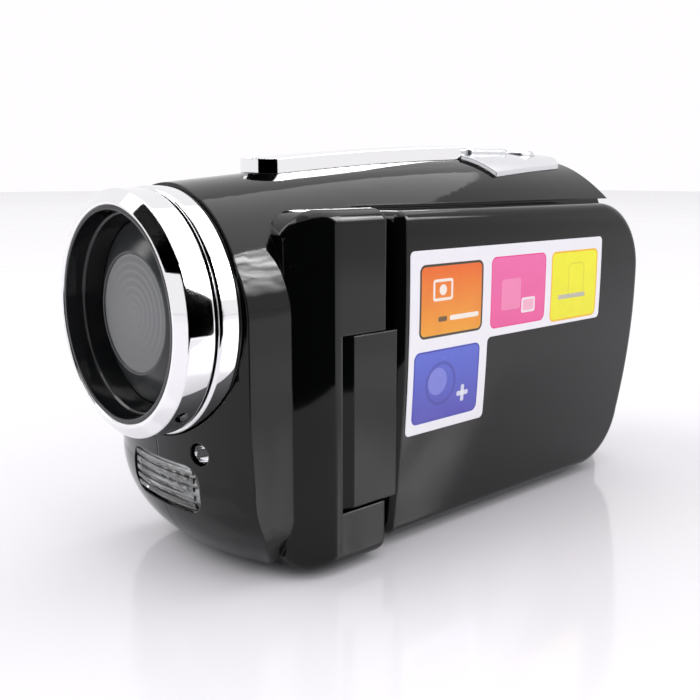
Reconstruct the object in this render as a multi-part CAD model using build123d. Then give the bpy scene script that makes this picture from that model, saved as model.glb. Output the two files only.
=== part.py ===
"""A pocket camcorder: two casing halves, a stepped chrome lens hood, a fold-out screen and its works.

Millimetres. The origin is the mouth of the tripod socket, in the middle of the base. The lens looks
along -Y, the fold-out screen is on +X and the camera stands on Z = 0.
"""
from build123d import *
import os
from math import pi, sin, cos, sqrt, radians

# ---- driving dimensions: casing -------------------------------------------------------------
BODY_WIDTH = 36.4        # across the casing, without the screen
AXIS_HEIGHT = 38.8       # lens axis above the base
FACE_Y = -40.6           # flat face behind the lens rings
CHIN_Y = -44.0           # foremost point of the chin, under the lens
REAR_Y = 56.4            # back of the casing
FACE_RISE = 18.3         # casing top above the lens axis, at the face
REAR_RISE = 22.6         # casing top above the lens axis, at the rear
RISE_RUN = 70.0          # length over which the top climbs
WALL = 1.6               # casing wall
BELLY_RADIUS = 10.0      # rounding between side and base
BOW_RADIUS = 43.0        # plan radius of the chin
TAIL_RADIUS = 6.0        # plan radius of the rear corners
SEAM = 0.12              # gap between the two casing halves
FIT = 0.15               # clearance round a piece that is let into the casing
RUN = 0.05               # radial clearance of a pin that turns
SOLE = 0.10              # what the base plane trims off the belly

# ---- lens rings -----------------------------------------------------------------------------
LIP_Y = -50.0            # front of the hood
LIP_RADIUS = 15.7
HOOD_RADIUS = 17.6
TRIM_RADIUS = 17.9
GROOVE_Y = -44.5         # groove between the two rings
TUBE_RADIUS = 16.3       # black tube that carries the rings
MASK_RADIUS = 13.3
WINDOW_RADIUS = 8.5
WINDOW_Y = -46.7
BARREL_RADIUS = 6.0      # threaded holder of the glass

# ---- fold-out screen ------------------------------------------------------------------------
BAY_X = 11.6             # wall that the screen folds against
PANEL_IN = 12.5          # inner face of the folded screen
PANEL_OUT = 20.9         # outer face of the folded screen
PANEL_FRONT = -14.0
PANEL_REAR = 53.5
PANEL_LOW = 1.5
PANEL_HIGH = 52.9
PANEL_CROWN = 300.0      # radius of the outer face
HINGE_X, HINGE_Y = 16.0, -20.5
KNUCKLE_LOW, KNUCKLE_HIGH = 9.5, 35.4
NOTCH_RADIUS = 7.1
PIN_RADIUS = 1.5
COLUMN_FRONT, COLUMN_CREASE = -33.4, 17.4
COLUMN_CORNER = -25.6
COLUMN_BROW, COLUMN_TOE = 5.8, 4.6
COLUMN_REAR = -16.7
COLUMN_HIGH = 53.5
COLUMN_LOW = 0.9

# ---- top trim and keys ----------------------------------------------------------------------
BAR_HALF = 3.8
BAR_NOSE = -26.7
BAR_END = 18.85
BAR_PROUD = 2.2
PAD_HALF, PAD_TAIL = 10.0, 7.8
PAD_END = 46.5
PAD_PROUD = 0.8
PAD_FLARE = 2.6
PLUG_HALF, PLUG_LOW = 5.4, 58.8
KEY_TRAVEL = 0.5
KEY_GAP = 0.2            # clearance round a key
ROCKER_Y, ROCKER_LONG, ROCKER_WIDE = 28.0, 12.0, 6.4
ROCKER_PIN_Z, ROCKER_PIN_RADIUS = 60.2, 0.45
SHUTTER_Y, SHUTTER_RADIUS = 39.5, 3.9

REAR_KEYS = [(-9.5, 42.0), (-0.5, 42.0)]   # power and mode, as (x, z)
REAR_KEY_RADIUS = 2.5
BAY_KEY_Y, BAY_KEY_Z, BAY_KEY_RING = 24.0, 30.0, 8.6

# ---- lamp and spot window in the chin --------------------------------------------------------
LAMP_Z = 13.4
LAMP_HALF = 8.9
LAMP_HIGH = 7.1
SPOT_X, SPOT_Z, SPOT_RADIUS = 9.5, 19.3, 1.35
CHIN_INNER_TOP = 18.6

# ---- battery and ports ----------------------------------------------------------------------
CELL_RADIUS, CELL_LONG = 5.2, 44.5
CELL_PITCH = 10.9
DOOR_LEFT, DOOR_RIGHT = -13.0, 8.0
DOOR_FRONT, DOOR_REAR = 7.5, 52.0
SOCKET_RADIUS, SOCKET_DEEP = 3.175, 6.0
CELL_LOW = 3.6
DOOR_PIN_Y, DOOR_PIN_Z, DOOR_PIN_RADIUS = 9.4, 1.0, 0.5
EYE_RADIUS = 1.0         # hinge eye of the battery door
EYE_LEFT, EYE_RIGHT = -9.5, 6.5
PORT_X, PORT_Z, PORT_WIDE, PORT_HIGH = -1.5, 27.5, 20.0, 21.0
COVER_PIN_Y, COVER_PIN_RADIUS = REAR_Y - 0.9, 0.6
CARD_Z = 19.5

# ---- small pieces ---------------------------------------------------------------------------
SENSOR_Y = -27.0
SOCKET_OUTER = 5.2
SPEAKER_Y = 44.0
SHAFT_X, SHAFT_RADIUS = HINGE_X + 0.35, 2.0
SCREEN_Y, SCREEN_Z, SCREEN_WIDE, SCREEN_HIGH = 19.0, 28.0, 37.0, 29.0
LABEL_FRONT, LABEL_REAR, LABEL_TOP = -12.0, 39.6, 46.9
LABEL_ROW, LABEL_FOOT, LABEL_TALL = 15.2, 18.7, 28.9
STRAP_Y, STRAP_Z, STRAP_BAR_RADIUS = 44.0, 36.0, 0.9
SCREW_RADIUS, SCREW_HEAD_RADIUS, SCREW_LONG, SCREW_HEAD_X = 1.0, 2.0, 20.0, 11.0
ROCKER_GAP = 0.7


# ---- helpers --------------------------------------------------------------------------------
def block(x0, x1, y0, y1, z0, z1):
    """A box given by its six faces."""
    return Pos((x0 + x1) / 2, (y0 + y1) / 2, (z0 + z1) / 2) * Box(x1 - x0, y1 - y0, z1 - z0)


def rod(x, y, z, radius, length, along="Z"):
    """A cylinder that starts at x, y, z and runs along +X, +Y or +Z."""
    turn = {"X": Rot(0, 90, 0), "Y": Rot(-90, 0, 0), "Z": Rot(0, 0, 0)}[along]
    return Pos(x, y, z) * turn * Cylinder(radius, length, align=(Align.CENTER, Align.CENTER, Align.MIN))


def turned(points):
    """A ring about the lens axis, from its (radius, y) outline."""
    outline = make_face(Polyline(*points, close=True))
    return Pos(0, 0, AXIS_HEIGHT) * revolve(outline, Axis.Y)


def plan(points, z0, z1):
    """A prism that stands on z0, from its (x, y) outline."""
    return extrude(Pos(0, 0, z0) * make_face(Polyline(*points, close=True)), amount=z1 - z0)


def rise(y):
    """Height of the casing's top above the lens axis at y."""
    share = min(1.0, (y - FACE_Y) / RISE_RUN)
    return FACE_RISE + (REAR_RISE - FACE_RISE) * sin(share * pi / 2)


# ---- outer form of the casing ---------------------------------------------------------------
def section(y, inset):
    """Cross-section of the casing: flat base, round belly, upright sides and an arched top."""
    half = BODY_WIDTH / 2 - inset
    belly = BELLY_RADIUS - inset
    foot = half - belly
    top = rise(y) - inset
    axis_up = AXIS_HEIGHT
    low = inset + belly - SOLE
    edges = [
        Line((-foot, inset - SOLE), (foot, inset - SOLE)),
        CenterArc((foot, low), belly, 270, 90),
        Line((half, low), (half, axis_up)),
        EllipticalCenterArc((0, axis_up), half, top, 0, arc_size=180),
        Line((-half, axis_up), (-half, low)),
        CenterArc((-foot, low), belly, 180, 90),
    ]
    return Plane((0, y, 0), x_dir=(1, 0, 0), z_dir=(0, -1, 0)) * make_face(edges)


def form(inset):
    """The casing as a solid lump, drawn in by inset on every side."""
    count = 5
    first, last = CHIN_Y - 3, REAR_Y + 3
    stations = [first + (last - first) * i / count for i in range(count + 1)]
    lump = loft([section(y, inset) for y in stations])
    lump = lump & nose_form(inset) & tail_form(inset)
    wide = BODY_WIDTH
    return lump & block(-wide, wide, first - 1, last + 1, inset, AXIS_HEIGHT * 2)


def nose_form(inset):
    """The bowed chin that curves under to the base, open towards the rear."""
    centre = CHIN_Y + BOW_RADIUS
    reach = BOW_RADIUS - inset
    sill = AXIS_HEIGHT * 0.39
    under = sill * 0.73
    side = [
        Line((0, inset - 2), (reach - under, inset - 2)),
        Line((reach - under, inset - 2), (reach - under, inset)),
        ThreePointArc((reach - under, inset), (reach - under * 0.32, inset + sill * 0.34), (reach - 0.5, sill)),
        Line((reach - 0.5, sill), (reach, AXIS_HEIGHT * 0.6)),
        Line((reach, AXIS_HEIGHT * 0.6), (reach, AXIS_HEIGHT * 2)),
        Line((reach, AXIS_HEIGHT * 2), (0, AXIS_HEIGHT * 2)),
        Line((0, AXIS_HEIGHT * 2), (0, inset - 2)),
    ]
    bow = revolve(Plane.XZ * make_face(side), Axis.Z)
    wide = BODY_WIDTH
    straight = block(-wide, wide, CHIN_Y + under * 2, REAR_Y + 9, inset - 2, AXIS_HEIGHT * 2)
    return Pos(0, centre, 0) * bow + straight


def tail_form(inset):
    """Rounded rear corners in plan, and a top that rounds down to the rear wall."""
    half = BODY_WIDTH / 2 - inset
    rear = REAR_Y - inset
    corner = TAIL_RADIUS - inset
    broad = half + 0.03
    footprint = Pos(0, 0, -3) * extrude(Rectangle(2 * broad, 2 * rear), amount=AXIS_HEIGHT * 2 + 3)
    footprint = fillet(footprint.edges().filter_by(Axis.Z), corner)
    footprint = footprint + block(-broad, broad, CHIN_Y - 9, 0, -3, AXIS_HEIGHT * 2)
    crown = AXIS_HEIGHT + REAR_RISE - inset
    brow = crown - 14.5
    slope = [
        Line((CHIN_Y - 9, inset - 2), (rear - 4, inset - 2)),
        Line((rear - 4, inset - 2), (rear - 4, inset)),
        ThreePointArc((rear - 4, inset), (rear - 1.17, inset + 1.17), (rear, inset + 4)),
        Line((rear, inset + 4), (rear, brow - 1.6)),
        ThreePointArc((rear, brow - 1.6), (rear - 0.3, brow + 0.3), (rear - 1.3, brow + 2.0)),
        Line((rear - 1.3, brow + 2.0), (rear - 7.6, crown - 2.9)),
        ThreePointArc((rear - 7.6, crown - 2.9), (rear - 9.5, crown - 1.0), (rear - 12.4, crown - 0.1)),
        Line((rear - 12.4, crown - 0.1), (rear - 19, crown + 1)),
        Line((rear - 19, crown + 1), (rear - 19, AXIS_HEIGHT * 2)),
        Line((rear - 19, AXIS_HEIGHT * 2), (CHIN_Y - 9, AXIS_HEIGHT * 2)),
        Line((CHIN_Y - 9, AXIS_HEIGHT * 2), (CHIN_Y - 9, inset - 2)),
    ]
    upright = Plane((-BODY_WIDTH, 0, 0), x_dir=(0, 1, 0), z_dir=(1, 0, 0))
    return footprint & extrude(upright * make_face(slope), amount=BODY_WIDTH * 2)



# ---- casing halves --------------------------------------------------------------------------
def lens_bore(radius, y0, y1):
    """A cylinder on the lens axis."""
    return rod(0, y0, AXIS_HEIGHT, radius, y1 - y0, "Y")


def hinge_post(radius, z0, z1):
    """A cylinder on the axis of the screen hinge."""
    return rod(HINGE_X, HINGE_Y, z0, radius, z1 - z0)


def cut_to_face(lump, step):
    """Removes what would stand in front of the face, but leaves the chin under the rings."""
    shelf = AXIS_HEIGHT - 8
    wide = BODY_WIDTH
    lump = lump - block(-wide, wide, CHIN_Y - 9, FACE_Y + step, shelf, AXIS_HEIGHT * 2)
    return lump - lens_bore(TRIM_RADIUS + 0.2 + step, CHIN_Y - 9, FACE_Y + step)


def column():
    """The upright post beside the lens that carries the screen hinge."""
    root = BODY_WIDTH / 2 - WALL - 3
    crease = (COLUMN_CREASE, COLUMN_FRONT)
    corner = (PANEL_OUT, COLUMN_CORNER)
    swell = ((COLUMN_CREASE + PANEL_OUT) / 2 + 0.85, (COLUMN_FRONT + COLUMN_CORNER) / 2 - 0.45)
    outline = [
        Line((root, COLUMN_FRONT), crease),
        ThreePointArc(crease, swell, corner),
        Line(corner, (PANEL_OUT, COLUMN_REAR)),
        Line((PANEL_OUT, COLUMN_REAR), (root, COLUMN_REAR)),
        Line((root, COLUMN_REAR), (root, COLUMN_FRONT)),
    ]
    post = extrude(Pos(0, 0, COLUMN_LOW) * make_face(outline), amount=COLUMN_HIGH - COLUMN_LOW)
    post = fillet(post.edges().filter_by(Axis.Z).sort_by(Axis.X)[-2:], 0.6)
    post = post & column_side(root)
    skin = BODY_WIDTH / 2
    shoulder = [e for e in post.edges() if e.center().X > skin + 0.2 and e.center().Z > COLUMN_HIGH - 0.1]
    post = fillet(shoulder, 2.0)
    sole = [e for e in post.edges() if e.center().X > skin + 0.2 and e.center().Z < COLUMN_LOW + 0.1]
    return fillet(sole, 2.0)


def column_side(root):
    """The column's outline seen from the side: round at the top and at the foot."""
    long = COLUMN_REAR - COLUMN_FRONT + 2
    high = COLUMN_HIGH - COLUMN_LOW
    middle = Pos(root - 1, COLUMN_FRONT - 0.5 + long / 2, COLUMN_LOW + high / 2)
    slab = middle * Box(BODY_WIDTH, long, high, align=(Align.MIN, Align.CENTER, Align.CENTER))
    front = slab.edges().filter_by(Axis.X).group_by(Axis.Y)[0].sort_by(Axis.Z)
    slab = fillet(front[-1:], COLUMN_BROW)
    front = slab.edges().filter_by(Axis.X).group_by(Axis.Y)[0].sort_by(Axis.Z)
    return fillet(front[:1], COLUMN_TOE)


def bay():
    """The space beside the casing that the folded screen fills."""
    reach = BODY_WIDTH
    return block(BAY_X, reach, COLUMN_REAR, REAR_Y + 9, -1, COLUMN_HIGH)


def lamp_outline(grow):
    """A stadium-shaped prism through the chin, where the lamp window sits."""
    wide, high = LAMP_HALF * 2 + 2 * grow, LAMP_HIGH + 2 * grow
    face = Plane((0, CHIN_Y - 3, LAMP_Z), x_dir=(1, 0, 0), z_dir=(0, 1, 0)) * RectangleRounded(
        wide, high, high / 2 - 0.8
    )
    return extrude(face, amount=14)


def battery_opening(grow):
    """The opening of the battery door: a box through the base, and a slot for the hinge eye before it."""
    front = DOOR_PIN_Y + EYE_RADIUS + 0.6
    leaf = block(DOOR_LEFT - grow, DOOR_RIGHT + grow, front - grow, DOOR_REAR + grow, -1, BELLY_RADIUS)
    slot = block(EYE_LEFT - grow, EYE_RIGHT + grow, DOOR_PIN_Y - EYE_RADIUS - 0.2, front + 1, -1, BELLY_RADIUS)
    return leaf + slot


def door_bosses():
    """The two blocks inside the base that hold the ends of the door's pin."""
    front, rear = DOOR_PIN_Y - EYE_RADIUS - 0.4, DOOR_PIN_Y + EYE_RADIUS + 0.3
    left = block(EYE_LEFT - FIT - 2.0, EYE_LEFT - FIT, front, rear, 0.4, 2.9)
    return left + block(EYE_RIGHT + FIT, EYE_RIGHT + FIT + 2.0, front, rear, 0.4, 2.9)


def door_pin(radius):
    """The battery door's hinge pin."""
    return rod(EYE_LEFT - 1.7, DOOR_PIN_Y, DOOR_PIN_Z, radius, EYE_RIGHT - EYE_LEFT + 3.4, "X")


def port_opening(grow):
    """The recess of the port cover in the rear wall."""
    half_wide, half_high = PORT_WIDE / 2 + grow, PORT_HIGH / 2 + grow
    return block(
        PORT_X - half_wide, PORT_X + half_wide, REAR_Y - WALL - 4, REAR_Y + 4,
        PORT_Z - half_high, PORT_Z + half_high,
    )


def boss_places():
    """Where the case screws go, as (y, z)."""
    low = BELLY_RADIUS - 1.0
    return [(COLUMN_FRONT + 3.7, low), (COLUMN_FRONT + 11.7, AXIS_HEIGHT + 13), (REAR_Y - 11.5, AXIS_HEIGHT + 8)]


def keyholes():
    """Openings for the keys on the top pad and the rear wall."""
    cuts = [pad_plug(FIT, AXIS_HEIGHT + 12)]
    for x, z in REAR_KEYS:
        cuts.append(rod(x, REAR_Y - 9, z, REAR_KEY_RADIUS + KEY_GAP, 12, "Y"))
    return cuts


def pad_plug(grow, low):
    """The block under the pad that drops into the opening in the casing's top."""
    half = PLUG_HALF + grow
    front, rear = ROCKER_Y - 7.0 - grow, SHUTTER_Y + 4.4 + grow
    return block(-half, half, front, rear, low, AXIS_HEIGHT * 2)


def bay_key_places():
    """Centre and radius of each key on the bay wall, as (name, y, z, radius)."""
    places = [("ok_key", BAY_KEY_Y, BAY_KEY_Z, 3.1)]
    names = ["menu_key", "up_key", "play_key", "down_key"]
    for index, name in enumerate(names):
        angle = radians(90 * index)
        places.append((name, BAY_KEY_Y + BAY_KEY_RING * sin(angle), BAY_KEY_Z + BAY_KEY_RING * cos(angle), 2.5))
    return places


def casing():
    """Both halves in one piece, still joined along the seam."""
    outer = cut_to_face(form(0), 0)
    inner = form(WALL) - block(-BODY_WIDTH, BODY_WIDTH, CHIN_Y - 9, FACE_Y + WALL, CHIN_INNER_TOP, AXIS_HEIGHT * 2)
    reach = BODY_WIDTH
    liner = block(BAY_X - WALL, reach, COLUMN_REAR - WALL, REAR_Y + 9, -1, COLUMN_HIGH + WALL)
    shell = (outer - (inner - liner)) - bay()
    for y, z in boss_places():
        shell = shell + (rod(-BODY_WIDTH / 2 + 0.4, y, z, 3.0, BODY_WIDTH - 0.8, "X") & (inner - liner))
    backing = block(0, PANEL_OUT - 0.5, COLUMN_FRONT, COLUMN_REAR, 0, COLUMN_HIGH)
    backing = backing + block(0, BAY_X, COLUMN_FRONT, HINGE_Y + 12, 0, COLUMN_HIGH)
    pocket = hinge_post(NOTCH_RADIUS + 1.3, KNUCKLE_LOW - 3.5, KNUCKLE_HIGH + 3.5) & backing
    shell = shell + column_shell(inner) + pocket
    shell = shell - hinge_post(NOTCH_RADIUS, KNUCKLE_LOW - 0.3, KNUCKLE_HIGH + 0.3)
    shell = shell - hinge_post(PIN_RADIUS, KNUCKLE_LOW - 4, KNUCKLE_HIGH + 4)
    shell = shell - lens_bore(TUBE_RADIUS + FIT, CHIN_Y, FACE_Y + WALL + 1)
    shell = shell - lamp_outline(FIT) - rod(SPOT_X, CHIN_Y - 3, SPOT_Z, SPOT_RADIUS + 0.35, 12, "Y")
    shell = shell - battery_opening(FIT) - port_opening(FIT)
    return shell


def column_shell(inner):
    """The hinge column, hollow where the casing is."""
    post = column()
    core = block(
        0, PANEL_OUT - WALL - 0.6, COLUMN_CORNER - 2.2, COLUMN_REAR - WALL,
        COLUMN_LOW + WALL + 1.5, COLUMN_HIGH - WALL - 1.5,
    )
    return post - core - inner



def left_half(case):
    """The casing half on the screen's side, with its keyholes and speaker holes."""
    reach = BODY_WIDTH * 2
    half = case & block(SEAM / 2, reach, CHIN_Y - 9, REAR_Y + 9, -1, AXIS_HEIGHT * 2)
    for name, y, z, radius in bay_key_places():
        half = half - rod(BAY_X - WALL - 2, y, z, radius + KEY_GAP, 6, "X")
    for y, z in speaker_holes():
        half = half - rod(BAY_X - WALL - 2, y, z, 0.6, 6, "X")
    for y, z in boss_places():
        half = half - rod(0, y, z, SCREW_RADIUS, SCREW_LONG - SCREW_HEAD_X, "X")
    return half


def right_half(case):
    """The casing half on the hand's side, with its screw holes and the strap eye."""
    reach = BODY_WIDTH * 2
    half = case & block(-reach, -SEAM / 2, CHIN_Y - 9, REAR_Y + 9, -1, AXIS_HEIGHT * 2)
    for y, z in boss_places():
        half = half - rod(-SCREW_HEAD_X, y, z, SCREW_RADIUS, SCREW_LONG, "X")
        half = half - rod(-reach, y, z, SCREW_HEAD_RADIUS + 0.2, reach - SCREW_HEAD_X, "X")
    return half - strap_recess()


def shared_cuts(case):
    """Openings that cross the seam: the keys on top, the rear keys and the tripod bush."""
    for hole in keyholes():
        case = case - hole
    case = case + (door_bosses() & form(0.02)) - door_pin(DOOR_PIN_RADIUS)
    case = case - cover_pin(COVER_PIN_RADIUS) - strap_bar(STRAP_BAR_RADIUS)
    return case - rod(0, 0, -1, SOCKET_OUTER + 0.02, SOCKET_DEEP + 2)


def speaker_holes():
    """A ring of holes with one in the middle, as (y, z)."""
    ring = [(SPEAKER_Y + 2.6 * cos(pi / 3 * i), BAY_KEY_Z + 2.6 * sin(pi / 3 * i)) for i in range(6)]
    return ring + [(SPEAKER_Y, BAY_KEY_Z)]


def strap_recess():
    """The pocket in the rear corner that the strap bar crosses."""
    half = BODY_WIDTH / 2
    return block(-half - 2, -half + 4.2, STRAP_Y - 4.0, STRAP_Y + 4.0, STRAP_Z - 3.0, STRAP_Z + 3.0)


def strap_bar(radius):
    """The steel bar across the strap recess."""
    return rod(-BODY_WIDTH / 2 + 1.4, STRAP_Y, STRAP_Z - 4.0, radius, 8.0)


def strap_pocket(inner):
    """Walls behind the strap recess, inside the casing."""
    half = BODY_WIDTH / 2
    walls = block(-half, -half + 5.6, STRAP_Y - 5.2, STRAP_Y + 5.2, STRAP_Z - 4.2, STRAP_Z + 4.2)
    return walls & inner


# ---- lens group -----------------------------------------------------------------------------
def lens_group():
    """Everything that is turned about the lens axis, from the rings to the sensor."""
    lip, hood, trim = LIP_RADIUS, HOOD_RADIUS, TRIM_RADIUS
    seat = TUBE_RADIUS
    slip = seat - 0.03
    groove = GROOVE_Y
    mask_y = groove + 0.2
    parts = {}
    parts["hood_ring"] = turned([
        (lip, LIP_Y), (lip + 0.35, LIP_Y), (hood - 0.15, LIP_Y + 1.3), (hood, groove - 0.3), (hood - 0.3, groove),
        (seat, groove), (seat, LIP_Y + 3.2), (lip - 0.35, LIP_Y + 2.6), (lip - 0.35, LIP_Y + 0.2),
    ])
    parts["trim_ring"] = turned([
        (seat, groove + 0.25), (trim - 0.5, groove + 0.25), (trim, groove + 0.7), (trim, FACE_Y - 0.7),
        (trim - 0.3, FACE_Y - 0.35), (seat, FACE_Y - 0.35),
    ])
    parts["lens_tube"] = turned([
        (slip, groove - 1.4), (slip, FACE_Y - 0.3), (trim - 0.2, FACE_Y - 0.3), (trim - 0.2, FACE_Y - 0.02),
        (slip, FACE_Y - 0.02), (slip, FACE_Y + 4.5), (seat - 1.5, FACE_Y + 4.5), (seat - 1.5, groove - 1.4),
    ])
    parts["hood_liner"] = turned([
        (lip - 0.4, LIP_Y + 0.25), (lip - 0.4, LIP_Y + 2.7), (seat - 0.05, LIP_Y + 3.3),
        (seat - 0.05, groove - 1.45), (seat - 1.55, groove - 1.45), (seat - 1.55, groove + 1.2),
        (MASK_RADIUS + 0.1, groove + 1.2), (MASK_RADIUS + 0.1, mask_y), (MASK_RADIUS + 0.8, LIP_Y + 3.0),
        (MASK_RADIUS + 1.1, LIP_Y + 2.8), (lip - 1.0, LIP_Y + 0.25),
    ])
    parts["lens_mask"] = turned([
        (MASK_RADIUS, mask_y), (MASK_RADIUS, groove + 1.2), (BARREL_RADIUS + 0.1, groove + 1.2),
        (BARREL_RADIUS + 0.1, groove + 0.2), (WINDOW_RADIUS - 0.8, groove + 0.2), (WINDOW_RADIUS - 0.8, WINDOW_Y + 1.3),
        (WINDOW_RADIUS, WINDOW_Y + 1.3), (WINDOW_RADIUS, WINDOW_Y), (WINDOW_RADIUS + 0.3, WINDOW_Y - 0.05),
    ])
    parts["lens_window"] = lens_window()
    barrel_y = groove + 0.25
    barrel = BARREL_RADIUS
    parts["lens_barrel"] = turned([
        (barrel, barrel_y), (barrel, barrel_y + 14), (barrel - 1.6, barrel_y + 14), (barrel - 1.6, barrel_y + 9),
        (barrel - 1.0, barrel_y + 9), (barrel - 1.0, barrel_y + 1.5), (barrel - 2.2, barrel_y),
    ])
    front_element = turned([
        (0, barrel_y + 1.4), (barrel - 2.4, barrel_y + 2.1), (barrel - 1.0, barrel_y + 2.1),
        (barrel - 1.0, barrel_y + 4), (0, barrel_y + 3.4),
    ])
    rear_element = turned([
        (0, barrel_y + 6.3), (barrel - 1.0, barrel_y + 7.0), (barrel - 1.0, barrel_y + 8.9), (0, barrel_y + 8.9),
    ])
    parts["lens_elements"] = Compound(children=[front_element, rear_element])
    holder_y = barrel_y + 8
    side = barrel + 2.4
    holder = block(-side, side, holder_y, SENSOR_Y, AXIS_HEIGHT - side, AXIS_HEIGHT + side)
    bore = lens_bore(barrel, holder_y - 1, holder_y + 6.5)
    well = block(-side + 1.6, side - 1.6, holder_y + 6.4, SENSOR_Y + 1, AXIS_HEIGHT - side + 1.6, AXIS_HEIGHT + side - 1.6)
    parts["lens_holder"] = holder - bore - well
    wide = side + 2
    parts["sensor_board"] = block(-wide, wide - 2, SENSOR_Y, SENSOR_Y + 1.0, AXIS_HEIGHT - wide, AXIS_HEIGHT + wide)
    parts["image_sensor"] = block(-4, 4, SENSOR_Y - 1.2, SENSOR_Y, AXIS_HEIGHT - 3.4, AXIS_HEIGHT + 3.4)
    return parts


def lens_window():
    """The pale front window with its fine concentric steps."""
    steps = 7
    points = [(0, WINDOW_Y + 0.35)]
    for index in range(1, steps + 1):
        radius = WINDOW_RADIUS * index / (steps + 0.6)
        depth = WINDOW_Y + 0.35 - 0.04 * index
        points += [(radius, depth), (radius, depth - 0.035)]
    points += [(WINDOW_RADIUS - 0.02, WINDOW_Y + 0.05), (WINDOW_RADIUS - 0.02, WINDOW_Y + 1.3), (0, WINDOW_Y + 1.3)]
    return turned(points)


# ---- lamp in the chin -----------------------------------------------------------------------
def lamp_group():
    """The ribbed lamp window, its tray, its light diodes and the little window beside it."""
    parts = {}
    outline = lamp_outline(0)
    pane = (form(0.35) - form(1.5)) & outline
    ribs = [
        (form(0.02) - form(0.5)) & outline & block(-LAMP_HALF + 1.1, LAMP_HALF - 1.1, CHIN_Y - 2, CHIN_Y + 9, z, z + 0.75)
        for z in [LAMP_Z - 2.75 + 1.3 * i for i in range(5)]
    ]
    for rib in ribs:
        pane = pane + rib
    parts["lamp_window"] = pane
    back = CHIN_Y + 4.6
    tray = block(-LAMP_HALF + 1.0, LAMP_HALF - 1.0, CHIN_Y + 3.6, back, LAMP_Z - 2.9, LAMP_Z + 2.9)
    tray = tray - block(-LAMP_HALF + 2.0, LAMP_HALF - 2.0, CHIN_Y + 2, back - 0.5, LAMP_Z - 2.0, LAMP_Z + 2.0)
    leds = [rod(x, CHIN_Y + 3.0, LAMP_Z, 1.0, 1.1, "Y") for x in (-5, -2.5, 0, 2.5, 5)]
    parts["lamp_tray"] = tray
    parts["lamp_diodes"] = Compound(children=leds)
    parts["lamp_board"] = block(-LAMP_HALF, LAMP_HALF, back, back + 0.8, LAMP_Z - 3.4, LAMP_Z + 3.4)
    spot = rod(SPOT_X, CHIN_Y, SPOT_Z, SPOT_RADIUS, 5.2, "Y") & form(0.45)
    parts["spot_window"] = spot
    return parts


# ---- trim and keys on top -------------------------------------------------------------------
def over_top(proud, outline, low=0.02):
    """A skin that lies on the casing's top and stands proud of it, cut to a plan outline."""
    walls = plan(outline, AXIS_HEIGHT, AXIS_HEIGHT * 2) if isinstance(outline, list) else outline
    return (crest(proud) - crest(low)) & walls


def crest(proud):
    """The casing's top pushed outwards."""
    first, last = CHIN_Y - 3, REAR_Y + 3
    stations = [first + (last - first) * i / 5 for i in range(6)]
    return loft([section(y, -proud) for y in stations])


def top_group():
    """The bright bar, the wide pad behind it, and what is let into them."""
    parts = {}
    nose = BAR_NOSE + BAR_HALF
    strip = block(-BAR_HALF, BAR_HALF, nose, BAR_END, AXIS_HEIGHT, AXIS_HEIGHT * 2)
    strip = strip + rod(0, nose, AXIS_HEIGHT, BAR_HALF, AXIS_HEIGHT)
    parts["top_bar"] = over_top(BAR_PROUD, strip)
    start = BAR_END + 0.15
    shoulder = start + PAD_FLARE
    outline = [
        (-BAR_HALF, start), (BAR_HALF, start), (PAD_HALF, shoulder), (PAD_TAIL, PAD_END - 3),
        (PAD_TAIL - 3, PAD_END), (-PAD_TAIL + 3, PAD_END), (-PAD_TAIL, PAD_END - 3), (-PAD_HALF, shoulder),
    ]
    pad = over_top(PAD_PROUD, outline) & tail_form(-PAD_PROUD)
    pad = pad + (pad_plug(0, PLUG_LOW) & crest(PAD_PROUD * 0.5))
    pad = pad - rocker_prism(KEY_GAP) - rocker_pin(ROCKER_PIN_RADIUS + RUN)
    pad = pad - rod(0, SHUTTER_Y, AXIS_HEIGHT, SHUTTER_RADIUS + KEY_GAP, AXIS_HEIGHT)
    parts["top_pad"] = pad
    parts["zoom_rocker"] = zoom_rocker()
    parts["shutter_key"] = shutter_key()
    board_z = AXIS_HEIGHT + REAR_RISE - 7.6
    parts["top_board"] = block(-8, 8, ROCKER_Y - 7.5, SHUTTER_Y + 4.5, board_z, board_z + 1.0)
    height = 1.2
    places = [(0, ROCKER_Y - 4), (0, ROCKER_Y + 4), (0, SHUTTER_Y)]
    switches = [block(x - 1.7, x + 1.7, y - 1.7, y + 1.7, board_z + 1.0, board_z + 1.0 + height) for x, y in places]
    parts["tact_switches"] = switches
    return parts


def rocker_prism(grow):
    """Upright prism with the rocker's outline."""
    return block(
        -ROCKER_WIDE / 2 - grow, ROCKER_WIDE / 2 + grow, ROCKER_Y - ROCKER_LONG / 2 - grow,
        ROCKER_Y + ROCKER_LONG / 2 + grow, AXIS_HEIGHT + 12, AXIS_HEIGHT * 2,
    )


def zoom_rocker():
    """The zoom rocker: a crowned cap on two feet that tips about a cross pin."""
    base = AXIS_HEIGHT + REAR_RISE - 1.9
    top = AXIS_HEIGHT + REAR_RISE + PAD_PROUD + 0.8
    cap = block(
        -ROCKER_WIDE / 2, ROCKER_WIDE / 2, ROCKER_Y - ROCKER_LONG / 2, ROCKER_Y + ROCKER_LONG / 2, base, top
    )
    cap = fillet(cap.edges().filter_by(Axis.Z), 1.2)
    cap = fillet(cap.edges().group_by(Axis.Z)[-1], 0.6)
    dish = Pos(0, ROCKER_Y, top + 13.4) * Rot(0, 90, 0) * Cylinder(13.8, ROCKER_WIDE * 2)
    cap = cap - dish
    floor = AXIS_HEIGHT + REAR_RISE - 7.6 + 2.2 + ROCKER_GAP
    feet = [rod(0, ROCKER_Y + y, floor, 1.0, base - floor) for y in (-4, 4)]
    return cap + feet[0] + feet[1] + rocker_pin(ROCKER_PIN_RADIUS)


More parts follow.
